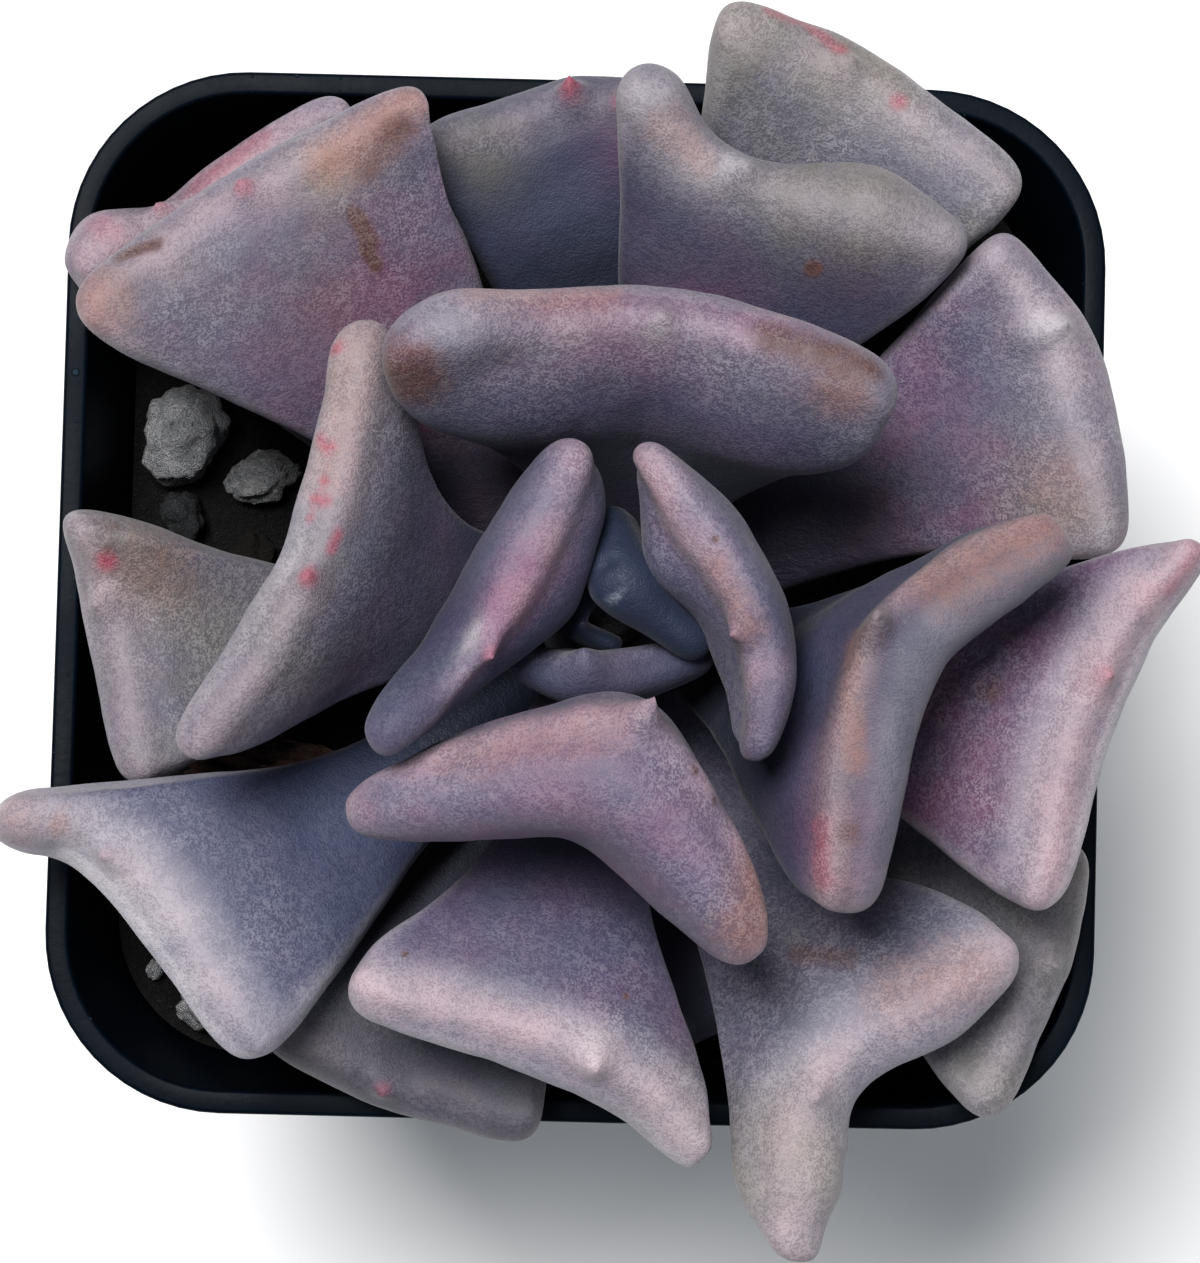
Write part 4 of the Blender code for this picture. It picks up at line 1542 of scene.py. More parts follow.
@dataclass(frozen=True)
class Leaf:
    """Fleshy leaf with a narrow base, a widening blade and a thick margin folded back into two horns."""

    plan: LeafPlan
    look: Look
    form: LeafForm
    stem: Stem

    def rows(self) -> list[Row]:
        """Lines of the middle surface from the stem out.

        Returns:
            The base, the waist and the two lines of the margin.
        """
        plan, form, stem = self.plan, self.form, self.stem
        height = form.first_height + form.rise * plan.turn
        outward = Vector((math.cos(math.radians(plan.bearing)), math.sin(math.radians(plan.bearing)), 0.0))
        leftward = Vector((-outward.y, outward.x, 0.0))
        tip = stem.about(*plan.point)
        radius = stem.radius_at(height - form.base_thick / 2)
        base_half = min(form.base_half_width, radius * form.base_share)
        base_thick = form.base_thick * base_half / form.base_half_width
        rise = tip - stem.about(plan.bearing, radius, height)
        lean = rise.normalized().z * base_thick * form.base_lean
        root = stem.about(plan.bearing, radius + GAP + lean, height)
        left, right = stem.about(*plan.left), stem.about(*plan.right)
        adaxial = (right - left).cross(tip - root).normalized()
        tip = tip - adaxial * plan.thick * plan.ridge
        chord = left - right
        run = tip - root
        level_run = math.hypot(run.x, run.y) * form.level_run + form.level_lead
        first = root + outward * level_run + Vector((0.0, 0.0, run.z * form.early_rise))
        last = root.lerp(tip, form.bow_place) + adaxial * plan.bow
        waist = cubic(root, first, last, tip, form.waist_place) + chord.normalized() * plan.sway
        waist_side = leftward.lerp(chord.normalized(), form.waist_turn).normalized()
        waist_side *= max(base_half, chord.length * plan.waist)
        waist_thick = base_thick + (plan.thick - base_thick) * form.waist_plumpness
        inward = (waist - tip).normalized()
        band = min(plan.horn * form.margin_band, (waist - tip).length * form.margin_reach)
        rows = [Row(root, root + leftward * base_half, root - leftward * base_half, base_thick),
                Row(waist, waist + waist_side, waist - waist_side, waist_thick)]
        for share, thickness in ((1.0, 1.0), (0.0, form.margin_taper)):
            ends = []
            for horn in (left, right):
                arm = (horn - tip).normalized()
                back = (inward - arm * inward.dot(arm) * form.horn_splay).normalized()
                ends.append(horn + arm * form.horn_length + back * plan.horn * (share - 0.5))
            centre = tip + inward * band * share
            rows.append(Row(centre, ends[0], ends[1], plan.thick * thickness))
        return rows

    def cage_point(self, surface: list[list[Vector]], thick: float, line: int, column: int,
                   side: float) -> Vector:
        """Place one vertex of the cage.

        Args:
            surface: points of the middle surface, line by line.
            thick: the leaf's thickness on that line.
            line: the vertex's line, from the stem out.
            column: its column, from the left.
            side: 0.5 on the inner face and -0.5 on the outer one.

        Returns:
            The vertex's place.
        """
        last_line, last_column = len(surface) - 1, len(self.form.columns) - 1
        point = surface[line][column]
        along = surface[min(line + 1, last_line)][column] - surface[max(line - 1, 0)][column]
        across = surface[line][min(column + 1, last_column)] - surface[line][max(column - 1, 0)]
        aside = abs(self.form.columns[column])
        normal = across.cross(along).normalized()
        depth = self.plan.ridge if side > 0 and line == last_line else side
        thinning = self.form.edge_thinning + self.look.slim
        place = point + normal * depth * thick * (1.0 - thinning * aside ** 2)
        if line == last_line:
            outward = (point - surface[line - 1][column]).normalized()
            if side < 0:
                place += outward * self.plan.blunt * (1.0 - self.form.horn_bluntness * aside)
            elif aside == 0.0:
                place += outward * self.form.mucro
        return place

    def cage(self) -> BMesh:
        """Closed cage of quads, with each vertex's place on the leaf in three layers.

        Returns:
            The cage.
        """
        columns, lines = self.form.columns, self.form.lines
        rows = self.rows()
        surface = [[row.at(column, self.form.fold_power) for column in columns] for row in rows]
        for end in (0, -1):
            middle = (surface[-2][end] + surface[-1][end]) / 2
            for line in surface[-2:]:
                line[end] = middle + (line[end] - middle) * self.form.horn_taper * (1.0 - self.look.slim)
        bm = bmesh.new()
        layers = [bm.verts.layers.float.new(name) for name in ("across", "along", "face")]
        grid = bmesh.ops.create_grid(bm, x_segments=len(columns) - 1, y_segments=len(lines) - 1, size=1.0)
        for vert in grid["verts"]:
            column = round((vert.co.x + 1.0) / 2.0 * (len(columns) - 1))
            line = round((vert.co.y + 1.0) / 2.0 * (len(lines) - 1))
            for layer, value in zip(layers, (columns[column], lines[line], 1.0)):
                vert[layer] = value
            vert.co = self.cage_point(surface, rows[line].thick, line, column, 0.5)
        extra = bmesh.ops.extrude_face_region(bm, geom=bm.faces[:])["geom"]
        for vert in (item for item in extra if isinstance(item, bmesh.types.BMVert)):
            column = columns.index(min(columns, key=lambda value: abs(value - vert[layers[0]])))
            line = lines.index(min(lines, key=lambda value: abs(value - vert[layers[1]])))
            vert[layers[2]] = -1.0
            vert.co = self.cage_point(surface, rows[line].thick, line, column, -0.5)
        bmesh.ops.recalc_face_normals(bm, faces=bm.faces)
        self.crease_base(bm, layers[1])
        return bm

    def crease_base(self, bm: BMesh, along: bmesh.types.BMLayerItem) -> None:
        """Keep the border of the leaf's flat base sharp.

        Args:
            bm: the cage.
            along: the layer that tells each vertex's place along the leaf.
        """
        crease = bm.edges.layers.float.new("crease_edge")
        base = {face for face in bm.faces if all(vert[along] == 0.0 for vert in face.verts)}
        for edge in bm.edges:
            if sum(face in base for face in edge.link_faces) == 1:
                edge[crease] = 1.0

    def build(self, material: Material) -> None:
        """Build the leaf.

        Args:
            material: the skin.
        """
        name = f"leaf_{self.plan.number:02d}"
        source = draft("leaf_cage", self.cage())
        smooth = source.modifiers.new("smooth", "SUBSURF")
        smooth.levels = smooth.render_levels = self.form.detail - 0
        mesh = settled(source)
        self.sculpt_and_paint(mesh)
        as_piece(f"{name}_flesh", mesh, material, "leaf_flesh", name)

    def sculpt_and_paint(self, mesh: Mesh) -> None:
        """Give the smooth form its relief, and paint what the skin's finish reads.

        Args:
            mesh: the leaf's mesh.
        """
        form, look, seed = self.form, self.look, self.plan.number * 3.7
        points, normals = rows_of(mesh, "co"), rows_of(mesh, "normal")
        across, along, face = (read_trait(mesh, name) for name in ("across", "along", "face"))
        on_rim = (along > 0.999) & (face > 0.999)
        gap = nearest(points, points[on_rim])
        middle = points[np.argmin(np.abs(across) * 4 + (1 - along) * 4 + (1 - face))]
        inner = soft_step(-0.1, 0.7, face)
        free = soft_step(0.04, 0.35, along)
        broad = lumps(points, form.swell_size, seed)
        fine = lumps(points, form.ripple_size, seed + 9.0, octaves=2)
        lift = (form.swell * broad + form.ripple * fine) * free
        crispness = form.crest_floor + (1.0 - form.crest_floor) * look.ridge
        lift += crispness * form.crest * np.exp(-(gap / form.crest_width) ** 2) * free
        lift -= crispness * form.groove * np.exp(-(gap - form.groove_place) ** 2) * inner * free
        lift += look.plump * free
        painted = {trait: np.zeros(len(points)) for trait in Trait}
        for mark in look.marks:
            spread = self.spread(mark, points, across, along, face)
            painted[mark.trait] = np.maximum(painted[mark.trait],
                                             np.exp(-(spread / mark.radius) ** 2) * mark.strength)
        lift += (painted.pop(Trait.SWELL) - painted.pop(Trait.SINK)) * free
        scar = painted.pop(Trait.SCAR)
        lift -= form.scar_depth * scar - 0.1 * np.abs(scar - 0.45) * (scar > 0.05)
        from_tip = np.linalg.norm(points - middle, axis=1)
        beak = np.clip(1.0 - from_tip / form.beak_radius, 0.0, 1.0) ** 1.7 * look.beak
        rows = self.rows()
        inward = gap / (rows[-1].centre - rows[0].centre).length
        ahead = (rows[-1].centre - rows[-2].centre).normalized()
        upward = normals[np.argmin(from_tip)]
        heading = (ahead * 0.8 + Vector(upward) * 0.7).normalized()
        move_points(mesh, points + normals * lift[:, None] + beak[:, None] * np.array(heading))
        streak = 0.5 + 0.5 * lumps(points, form.streak_size, seed + 4.0)
        band = soft_step(0.9, 1.0, along) * (1.0 - inner)
        side = soft_step(0.84, 1.0, np.abs(across)) * soft_step(0.3, 0.8, along)
        fade = look.fade * inner + form.outer_fade * (1.0 - inner)
        verge = soft_step(1.0, 0.1, gap / fade) * (0.45 + 0.6 * streak)
        # slate tone deepened towards the stem: partly the skin's own blue-grey, partly painted shade
        cool = look.slate * soft_step(look.shade_start * 0.2, look.shade_start, inward + 0.04 * broad)
        cold = painted.pop(Trait.SLATE)
        bare = 1.0 - 0.8 * cold
        line = np.exp(-(gap / form.ridge_width) ** 2) * np.clip(0.1 + 1.3 * streak, 0.0, 1.0)
        mealy = np.maximum(look.band * band, look.bloom * np.maximum(0.5 * side, 0.8 * verge))
        # painted shade: darker from the margin towards the stem, where shade falls between the leaves
        shaded = look.depth * soft_step(look.shade_start, look.shade_start + form.shade_run, inward + 0.05 * broad)
        green = look.olive * (0.4 + 0.9 * (0.5 + 0.5 * broad)) * (1.0 - 0.85 * cool)
        traits = {
            "ridge": look.ridge * line * bare,
            "margin": mealy * bare + painted.pop(Trait.PALE),
            # the depth trait carries the painted shade, and at least the leaf's even painted shadow
            "depth": np.maximum(look.painted_shadow, shaded),
            "slate": cool + cold,
            "rose": look.rose * (0.5 + 0.7 * streak) + painted.pop(Trait.ROSE),
            "olive": green + painted.pop(Trait.OLIVE),
            "wrinkle": look.wrinkle * soft_step(0.85, 0.3, along) * inner,
            "red": np.maximum(painted.pop(Trait.RED), look.tip * np.exp(-(from_tip / form.tip_radius) ** 2)),
            "brown": np.maximum(painted.pop(Trait.BROWN), 0.75 * scar),
            "tan": painted.pop(Trait.TAN),
            "crust": painted.pop(Trait.CRUST),
        }
        for name, values in traits.items():
            write_trait(mesh, name, values)

    def spread(self, mark: Mark, points: np.ndarray, across: np.ndarray, along: np.ndarray,
               face: np.ndarray) -> np.ndarray:
        """Distance of each vertex from a mark.

        Args:
            mark: the mark.
            points: the vertices' positions.
            across: their places across the leaf.
            along: their places along it.
            face: the faces that they are on.

        Returns:
            The distances in millimetres.
        """
        ends = []
        for place in (mark.start, mark.end or mark.start):
            miss = (across - place[0]) ** 2 + (along - place[1]) ** 2 * 2 + (face - place[2]) ** 2 * 0.3
            ends.append(points[np.argmin(miss)])
        run = ends[1] - ends[0]
        length = float(run @ run)
        part = np.zeros(len(points))
        if length > 0.01:
            part = np.clip((points - ends[0]) @ run / length, 0.0, 1.0)
        return np.linalg.norm(points - ends[0] - part[:, None] * run, axis=1)


def nearest(points: np.ndarray, targets: np.ndarray) -> np.ndarray:
    """Distance of each point from the nearest of some targets.

    Args:
        points: the points as rows of three.
        targets: the targets as rows of three.

    Returns:
        One distance for each point.
    """
    best = np.full(len(points), np.inf)
    for target in targets:
        best = np.minimum(best, ((points - target) ** 2).sum(axis=1))
    return np.sqrt(best)


# The even painted shadow on some leaves, such as 2, 7, 22 and 23, stands for the shade that other leaves cast
# on them.
LOOKS = {
    1: Look(slate=0.1, rose=0.7, olive=0.4, ridge=0.8, tip=0.5, marks=(
        Mark(Trait.SWELL, (-0.5, 1, 0), 4, 2),
        Mark(Trait.SINK, (-1, 1, 0), 3, 1.4),
        Mark(Trait.SINK, (0.05, 1, 0), 2.5, 0.8),
        Mark(Trait.RED, (0.19, 1, 0.6), 1.4, 0.55, (0.6, 1, 0.4)),
        Mark(Trait.RED, (-0.52, 1, 0.65), 1.8, 0.45))),
    2: Look(slate=1, rose=0.3, olive=0, bloom=0.1, ridge=0.1, depth=1, painted_shadow=0.75, tip=0),
    3: Look(slate=0.15, rose=0.15, olive=1, bloom=0.45, ridge=0.25, tip=0, fade=4, marks=(
        Mark(Trait.RED, (-0.62, 1, 0.1), 0.9, 0.6, (-0.38, 1, -0.09)),
        Mark(Trait.RED, (-0.38, 1, -0.09), 0.8, 0.65, (-0.07, 1, 0.67)),
        Mark(Trait.RED, (-0.07, 1, 0.67), 0.9, 0.8),
        Mark(Trait.RED, (0.32, 1, 0.86), 0.9, 0.75))),
    4: Look(slate=0.3, rose=0.2, olive=0.95, bloom=0.4, ridge=0.4, tip=0, marks=(
        Mark(Trait.RED, (0.61, 0.95, 1), 1),
        Mark(Trait.TAN, (0.6, 0.85, 1), 6, 0.4),
        Mark(Trait.BROWN, (0.75, 0.92, 1), 0.9, 0.45),
        Mark(Trait.BROWN, (0.5, 0.6, 1), 1.2, 0.4),
        Mark(Trait.BROWN, (0.9, 0.88, 0.6), 1.3, 0.5))),
    5: Look(slate=0.4, rose=0.05, olive=1, bloom=0.35, ridge=0.15, tip=0.1, shade_start=0.2),
    6: Look(slate=1, rose=0.1, olive=0.5, bloom=0.2, band=0.2, ridge=0.25, shade_start=0.08, painted_shadow=0.3, tip=0.9,
            beak=2.4, marks=(
        Mark(Trait.OLIVE, (-0.63, 0.92, 1), 3.6, 0.9),
        Mark(Trait.RED, (0.35, 0.99, 1), 1, 0.4, (0.5, 0.94, 1)),
        Mark(Trait.SINK, (1, 1, 0), 4.5, 2.6),
        Mark(Trait.ROSE, (0.6, 0.9, 1), 5, 0.6))),
    7: Look(slate=0.4, rose=0.15, olive=0.9, bloom=0.25, ridge=0.15, painted_shadow=0.6, tip=0.45, shade_start=0.2),
    8: Look(slate=0.4, rose=0.6, olive=0.35, bloom=0.75, ridge=0.2, tip=0, shade_start=0.28, wrinkle=0.25, marks=(
        Mark(Trait.TAN, (0.7, 0.9, 1), 5, 0.4),
        Mark(Trait.SWELL, (-0.08, 0.96, 1), 2.2, 1.3),
        Mark(Trait.SWELL, (0.3, 1, -0.8), 8),
        # pale spot at the mucro: meal with a painted highlight
        Mark(Trait.PALE, (-0.08, 0.97, 1), 1.6, 0.55),
        Mark(Trait.ROSE, (0.4, 0.6, 1), 8, 0.3),
        Mark(Trait.OLIVE, (0.75, 0.9, 1), 6, 0.7))),
    9: Look(slate=0.4, rose=0.25, olive=0.5, bloom=0.8, band=0.4, ridge=0.5, tip=0.15, shade_start=0.72, fade=6,
            marks=(
        Mark(Trait.BROWN, (-0.17, 0.81, 1), 1.3, 0.5, (-0.38, 0.86, 1)),
        Mark(Trait.SWELL, (-0.6, 1, 0), 4),
        Mark(Trait.SINK, (-0.9, 0.6, 0), 5, 1.4),
        Mark(Trait.SWELL, (0.98, 0.8, 0), 4.5, 1.3),
        Mark(Trait.SWELL, (0.14, 1, -0.2), 3.2, 2.2, (0.38, 1, -0.2)),
        Mark(Trait.OLIVE, (0.7, 0.95, 1), 7, 0.8),
        Mark(Trait.TAN, (-0.5, 0.95, 1), 3.6, 0.5, (-0.8, 0.97, 1)))),
    10: Look(slate=0.85, olive=0.5, bloom=0.8, ridge=0.2, tip=0, shade_start=0.2, painted_shadow=0.28, fade=3, marks=(
        Mark(Trait.BROWN, (0.42, 0.87, 1), 0.75),
        Mark(Trait.SWELL, (0.55, 1, 0.1), 5.5, 2.6),
        Mark(Trait.SWELL, (-0.8, 1, -0.3), 4, 1.6),
        # pale marks at the mucro and along the left horn: meal with painted highlights
        Mark(Trait.PALE, (-0.07, 0.97, 0.8), 1.3, 0.7),
        Mark(Trait.PALE, (-0.83, 0.97, 1), 2, 0.4, (-0.3, 0.96, 1)),
        Mark(Trait.TAN, (-0.28, 0.99, 1), 1.8, 0.5, (-0.7, 0.98, 1)),
        Mark(Trait.ROSE, (-0.2, 0.6, 1), 5, 0.9),
        Mark(Trait.OLIVE, (0.5, 0.97, 0.8), 6, 0.8))),
    11: Look(slate=1, rose=0.1, olive=0.1, bloom=1, band=1, ridge=0.35, tip=0.3, painted_shadow=0.1, fade=4.5, marks=(
        Mark(Trait.TAN, (0.62, 0.98, 1), 1.2, 0.6),
        Mark(Trait.TAN, (0.92, 0.98, 0.9), 2.6, 0.45),
        Mark(Trait.SWELL, (0.5, 1, -0.2), 3.4, 1.3),
        Mark(Trait.PALE, (-0.6, 1, -0.5), 4, 0.4, (0, 1, -0.5)))),
    12: Look(slate=0.4, rose=0.85, bloom=1, band=0.9, ridge=1, tip=0.5, shade_start=0.6, painted_shadow=0.08, fade=5.5,
             slim=0.15, marks=(
        Mark(Trait.BROWN, (0.05, 0.8, 1), 1.6, 0.5),
        Mark(Trait.ROSE, (0.3, 0.7, 1), 6, 0.6),
        Mark(Trait.RED, (-0.63, 1, 0.6), 1.1, 0.4, (-0.95, 0.97, 0.5)))),
    13: Look(slate=0.45, rose=0.6, olive=0.45, ridge=0.5, tip=0.7, shade_start=0.5, painted_shadow=0.1, wrinkle=0.2, fade=4,
             marks=(
        Mark(Trait.TAN, (0.4, 0.98, 1), 2.4, 0.8, (0.86, 1, 0.89)),
        Mark(Trait.OLIVE, (0.3, 0.97, 1), 3.4, 0.7),
        Mark(Trait.BROWN, (0.55, 0.93, 1), 1.8, 0.55, (0.8, 0.95, 1)),
        Mark(Trait.TAN, (-0.89, 1, 0.86), 3.4, 0.7),
        Mark(Trait.SINK, (0.97, 0.8, 0), 6.5, 2),
        Mark(Trait.SCAR, (-0.64, 1, 0.21), 0.9, 1, (-0.51, 1, 0.57)),
        Mark(Trait.BROWN, (0.36, 0.87, 1), 0.75, 1, (0.36, 0.83, 1)),
        Mark(Trait.BROWN, (0.29, 0.83, 1), 0.6, 0.9, (0.3, 0.79, 1)),
        Mark(Trait.ROSE, (0.35, 0.6, 1), 8))),
    14: Look(slate=0.6, rose=0.45, olive=0.25, bloom=1, band=0.6, ridge=0.7, tip=0, shade_start=0.3, fade=4.5,
             marks=(
        # pale spot at the mucro: meal with a painted highlight
        Mark(Trait.PALE, (-0.02, 0.97, 1), 1.4, 0.7),
        Mark(Trait.SWELL, (-0.02, 0.97, 1), 1.6, 0.5),
        Mark(Trait.OLIVE, (-0.8, 0.95, 1), 6, 0.6),
        Mark(Trait.BROWN, (0.84, 0.87, 1), 0.4, 0.8),
        Mark(Trait.BROWN, (-0.22, 0.84, 1), 0.4, 0.8))),
    15: Look(slate=0.8, olive=0.6, bloom=0.4, ridge=0.3, tip=0.9, shade_start=0.38, painted_shadow=0.1, marks=(
        Mark(Trait.SWELL, (0.95, 1, 0), 3.5, 0.9),
        Mark(Trait.SINK, (0.05, 1, 0.3), 3, 0.9),
        Mark(Trait.TAN, (0.4, 1, 0.2), 3, 0.5, (0.9, 1, 0.2)),
        Mark(Trait.RED, (0.87, 1, -0.42), 0.8, 0.75),
        Mark(Trait.PALE, (0.9, 1, 0.3), 2.4, 0.35, (0.1, 1, 0.3)),
        Mark(Trait.RED, (0.51, 1, 0.31), 0.7, 0.75, (0.53, 1, -0.2)),
        Mark(Trait.RED, (0.37, 1, 0.4), 0.6, 0.7),
        Mark(Trait.RED, (0.29, 1, 0.6), 0.65, 0.75, (0.3, 1, 0.3)),
        Mark(Trait.RED, (0.22, 1, 0.2), 0.6, 0.6),
        Mark(Trait.RED, (0.13, 0.97, 1), 0.6, 0.7, (0.2, 0.97, 1)))),
    16: Look(slate=1, rose=0.25, olive=0.7, bloom=0.3, ridge=0.7, tip=0.15, shade_start=0.1, painted_shadow=0.26, beak=3.4,
             fade=0.8, marks=(
        Mark(Trait.RED, (0.88, 0.97, 1), 1.3, 0.5, (0.7, 0.97, 1)),
        Mark(Trait.ROSE, (0.8, 1, 0.5), 4),
        Mark(Trait.TAN, (0.03, 0.96, 1), 1.2, 0.6, (0.47, 1, 0.67)),
        Mark(Trait.TAN, (-0.3, 1, 0.4), 3, 0.6, (-0.85, 1, 0.4)),
        Mark(Trait.SINK, (0.3, 0.9, 1), 3, 1.2, (-0.4, 0.9, 1)),
        Mark(Trait.BROWN, (0.72, 1, 0.62), 1.4, 0.5))),
    17: Look(slate=0.7, rose=0.3, olive=0.4, bloom=0.35, band=0.2, ridge=0.1, tip=0.1, shade_start=0.3, depth=0.8,
             painted_shadow=0.05, fade=3, marks=(
        Mark(Trait.TAN, (-0.66, 1, -0.38), 2.2, 0.5, (-0.2, 1, 0.1)),
        Mark(Trait.ROSE, (-0.5, 1, 0.4), 4, 0.8, (0.5, 1, 0.4)),
        Mark(Trait.SWELL, (-0.5, 0.72, 1), 6, 1.4),
        Mark(Trait.SWELL, (0.5, 0.72, 1), 6, 1.4),
        Mark(Trait.PALE, (0, 0.98, 1), 1.1, 0.5),
        Mark(Trait.BROWN, (-0.93, 0.94, 1), 3.6, 0.8),
        Mark(Trait.RED, (-0.91, 0.97, 1), 2.8, 0.5),
        Mark(Trait.BROWN, (0.43, 1, 0.65), 1.8, 0.6, (0.84, 1, 0.38)),
        Mark(Trait.TAN, (0.8, 0.97, 1), 3, 0.6),
        Mark(Trait.SWELL, (-0.7, 1, 0.4), 4, 1.2),
        Mark(Trait.PALE, (-0.84, 1, 0.88), 1.2, 0.3, (-0.48, 1, -0.09)))),
    18: Look(slate=0.6, rose=0.7, olive=0.15, bloom=0.3, band=0.1, ridge=0.7, tip=0.1, beak=3.2, slim=0.22,
             marks=(
        Mark(Trait.SWELL, (0, 0.9, 1), 5, 1.8),
        Mark(Trait.BROWN, (-0.24, 1, 0.83), 0.5, 0.7),
        Mark(Trait.BROWN, (-0.37, 1, 0.85), 0.5, 0.7),
        Mark(Trait.TAN, (-0.73, 0.99, 1), 3.4, 0.8, (-0.85, 1, 0)),
        Mark(Trait.TAN, (0.1, 1, 0.6), 2.5, 0.4, (0.6, 1, 0.6)),
        Mark(Trait.RED, (0.9, 1, -0.13), 1.8, 0.25))),
    19: Look(slate=0.75, rose=0.3, olive=0.1, bloom=0.35, band=0.05, ridge=0.8, tip=0.3, shade_start=0.4, beak=2.2,
             slim=0.15, fade=2, marks=(
        Mark(Trait.BROWN, (-0.44, 1, 0.14), 0.4, 0.8),
        Mark(Trait.SWELL, (-0.5, 0.82, 1), 4.2, 2.2),
        Mark(Trait.SINK, (0.55, 0.85, 1), 3, 0.8),
        Mark(Trait.SLATE, (0.6, 1, -0.5), 3.5, 1, (0.95, 1, 0.2)),
        Mark(Trait.SLATE, (0, 1, -1), 4),
        Mark(Trait.TAN, (-0.35, 1, 0.7), 1.6, 0.5, (0, 1, 0.6)))),
    20: Look(slate=0.9, rose=0.25, olive=0, bloom=0.15, band=0.1, ridge=0.8, tip=0.5, shade_start=0.16, beak=1.8,
             slim=0.12, fade=1, marks=(
        Mark(Trait.SWELL, (0.3, 0.8, 1), 4.2, 1.7, (0.7, 0.84, 1)),
        # pale spot at the mucro: meal with a painted highlight
        Mark(Trait.PALE, (0, 1, -0.2), 1.8, 0.8),
        Mark(Trait.SINK, (-0.1, 1, -1), 4.5, 1.8),
        Mark(Trait.CRUST, (0.55, 0.72, 1), 0.65, 0.7),
        Mark(Trait.SLATE, (-0.9, 1, 0.3), 4, 1, (-0.5, 1, 0.3)),
        Mark(Trait.SLATE, (0, 1, -1), 4),
        Mark(Trait.ROSE, (0.4, 1, 0.7), 2.4, 0.9, (0.1, 1, 0.7)))),
    21: Look(slate=1, rose=0.2, olive=0, bloom=0.1, band=0.05, ridge=0.1, tip=0, shade_start=0.1, painted_shadow=0.3,
             plump=0.5, slim=0.2, marks=(
        Mark(Trait.PALE, (0.27, 0.96, 1), 0.8, 0.8),)),
    22: Look(slate=1, rose=0, olive=0, bloom=0, band=0, ridge=0, tip=0, shade_start=0.05, painted_shadow=0.62, beak=0.4,
             plump=0.7, marks=(
        Mark(Trait.SWELL, (0.1, 1, -0.6), 3, 0.9),
        Mark(Trait.CRUST, (0.1, 1, 0.2), 0.55, 0.36),
        Mark(Trait.SINK, (-0.16, 1, 0.04), 0.45, 0.5))),
    23: Look(slate=1, rose=0, olive=0, bloom=0, band=0, ridge=0, tip=0.2, shade_start=0.05, painted_shadow=0.92, beak=0.4),
}


# The studio


@dataclass(frozen=True)
class Studio:
    """Camera above the plant, a pale floor and soft overcast light."""

    aim: Spot = (1.8, -2.8, 75.0)
    distance: float = 350.0
    tilt: float = 4.0
    roll: float = 1.4
    lens: float = 122.7
    floor_size: float = 3000.0
    sky: Colour = (0.88, 0.94, 1.0)
    sky_strength: float = 0.1
    exposure: float = -0.1

    def build(self, paper: Material) -> None:
        """Build the studio.

        Args:
            paper: the floor's finish.
        """
        self.place_camera()
        self.lay_floor(paper)
        self.hang_light("sky_panel", (-330.0, 430.0, 1550.0), 640.0, 35.0, (1.0, 0.985, 0.965))
        self.hang_light("fill_panel", (560.0, -640.0, 1400.0), 1200.0, 6.5, (0.9, 0.95, 1.0))
        world = bpy.data.worlds.new("overcast")
        world.use_nodes = True
        background = world.node_tree.nodes["Background"]
        background.inputs["Color"].default_value = (*self.sky, 1.0)
        background.inputs["Strength"].default_value = self.sky_strength
        bpy.context.scene.world = world
        view = bpy.context.scene.view_settings
        view.view_transform = "Standard"
        view.look = "Medium High Contrast"
        view.exposure = self.exposure

    def place_camera(self) -> None:
        """Aim the camera nearly straight down, as the photograph was taken."""
        tilt, roll = math.radians(self.tilt), math.radians(self.roll)
        back = Vector((0.0, -math.sin(tilt), math.cos(tilt)))
        level_up = Vector((0.0, math.cos(tilt), math.sin(tilt)))
        level_right = Vector((1.0, 0.0, 0.0))
        right = level_right * math.cos(roll) + level_up * math.sin(roll)
        up = level_up * math.cos(roll) - level_right * math.sin(roll)
        data = bpy.data.cameras.new("top_camera")
        data.lens = self.lens
        data.sensor_width = 36.0
        data.sensor_height = 36.0
        data.sensor_fit = "AUTO"
        data.clip_start = 0.01
        data.clip_end = 10.0
        camera = bpy.data.objects.new("top_camera", data)
        turn = Matrix((right, up, back)).transposed().to_4x4()
        camera.matrix_world = Matrix.Translation((Vector(self.aim) + back * self.distance) * MM) @ turn
        bpy.context.scene.collection.objects.link(camera)
        bpy.context.scene.camera = camera

    def lay_floor(self, paper: Material) -> None:
        """Lay the floor under the pot.

        Args:
            paper: its finish.
        """
        bm = bmesh.new()
        bmesh.ops.create_grid(bm, x_segments=1, y_segments=1, size=self.floor_size / 2 * MM)
        floor = draft("studio_floor", bm)
        floor.data.materials.append(paper)

    def hang_light(self, name: str, place: Spot, size: float, power: float, tint: Colour) -> None:
        """Hang one square soft light that shines at the plant.

        Args:
            name: its name.
            place: its middle.
            size: its side.
            power: its power in watts.
            tint: its colour.
        """
        data = bpy.data.lights.new(name, "AREA")
        data.shape = "SQUARE"
        data.size = size * MM
        data.energy = power
        data.color = tint
        light = bpy.data.objects.new(name, data)
        away = Vector(place) - Vector(self.aim)
        turn = away.to_track_quat("Z", "Y").to_matrix().to_4x4()
        light.matrix_world = Matrix.Translation(Vector(place) * MM) @ turn
        bpy.context.scene.collection.objects.link(light)


# The whole plant


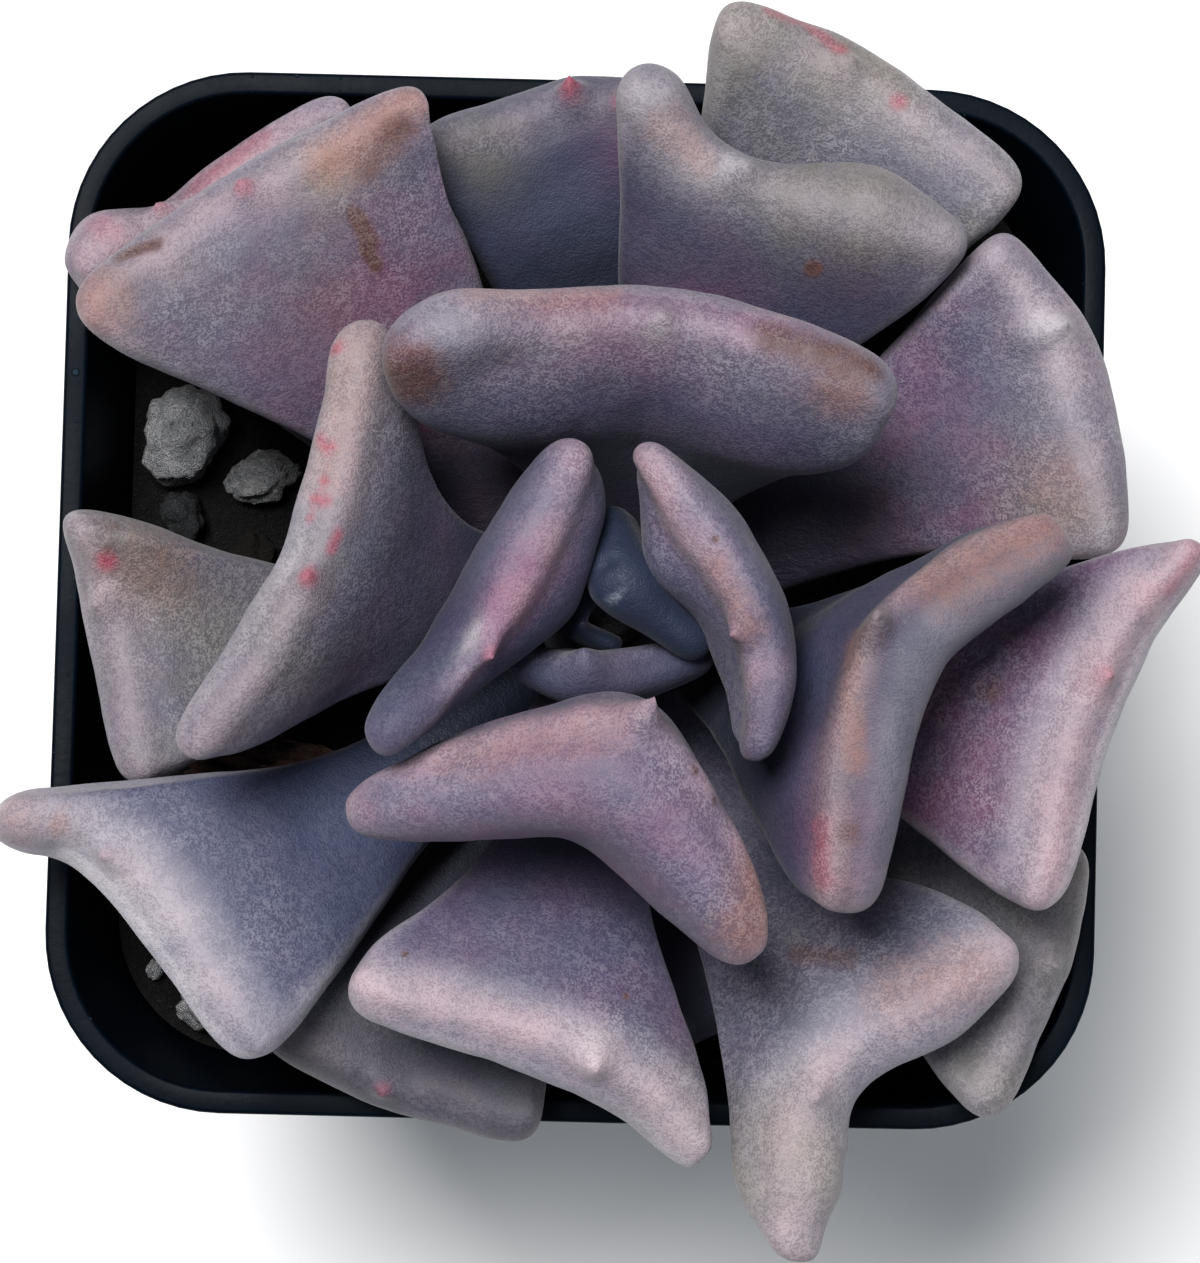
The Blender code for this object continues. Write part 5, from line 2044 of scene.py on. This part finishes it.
@dataclass(frozen=True)
class PottedEcheveria:
    """The pot, its soil, what lies on it, and the rosette."""

    pot: Pot = Pot()
    stem: Stem = Stem()
    form: LeafForm = LeafForm()

    def build(self, effects: Effects) -> None:
        """Build every piece, from the pot up.

        Args:
            effects: the shared node groups.
        """
        self.pot.build(PotPlastic().build(effects))
        soil = Soil(self.pot, self.stem)
        peat = LooseMatter("peat", shade("040404"), shade("0d0b0a"), shade("241f1b"), 3.0, 0.7)
        soil.build(peat.build(effects))
        self.stem.build(StemSkin().build(effects))
        self.build_bits(soil, effects)
        skin = LeafSkin().build(effects)
        for plan in LEAVES:
            Leaf(plan, LOOKS[plan.number], self.form, self.stem).build(skin)

    def build_bits(self, soil: Soil, effects: Effects) -> None:
        """Build what lies on the soil.

        Args:
            soil: the soil.
            effects: the shared node groups.
        """
        chalk = LooseMatter("perlite", shade("8d9094"), shade("c9c9cc"), shade("5c6064"), 1.6, 0.45,
                            flecks=0.15)
        perlite = chalk.build(effects)
        # a darker copy of the perlite finish: painted shade for the grain that lies in shade under the leaves
        shaded_grain_finish = replace(chalk, name="shaded_perlite", dark=shade("222427"), light=shade("45484b"),
                        fleck=shade("161719")).build(effects)
        for number, bit in enumerate(PERLITE, start=1):
            grain = Grain(bit, seed=number * 7.3)
            finish = shaded_grain_finish if number == SHADED_PERLITE else perlite
            grain.build(f"perlite_grain_{number}", f"perlite_{number}", finish, "perlite", soil.level)
        bark = LooseMatter("bark", shade("0c0807"), shade("1f1712"), shade("3a2e24"), 2.0, 0.5,
                           stretch=(0.5, 1.5, 1.5))
        chip = Grain(BARK, seed=91.0, bulge=0.05, bulge_size=0.6)
        chip.build("bark_piece", "bark_chip", bark.build(effects), "bark", soil.level)
        withered = LooseMatter("withered_skin", shade("5b3f38"), shade("a0857c"), shade("cdb8ad"), 1.3, 0.3,
                               stretch=(0.35, 1.0, 1.0))
        DryScrap(DRY_LEAF).build(withered.build(effects), soil.level)
        pale = LooseMatter("pale_root", shade("8c7f6c"), shade("c4b8a2"), shade("5a4d3e"), 1.2, 0.1)
        RootFibre().build(pale.build(effects), soil)


def main() -> None:
    """Build the potted echeveria and its studio."""
    logging.basicConfig(level=logging.INFO, format="%(name)s: %(message)s")
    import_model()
    effects = Effects()
    PottedEcheveria().build(effects)
    Studio().build(StudioPaper().build(effects))


if __name__ == "__main__":
    main()
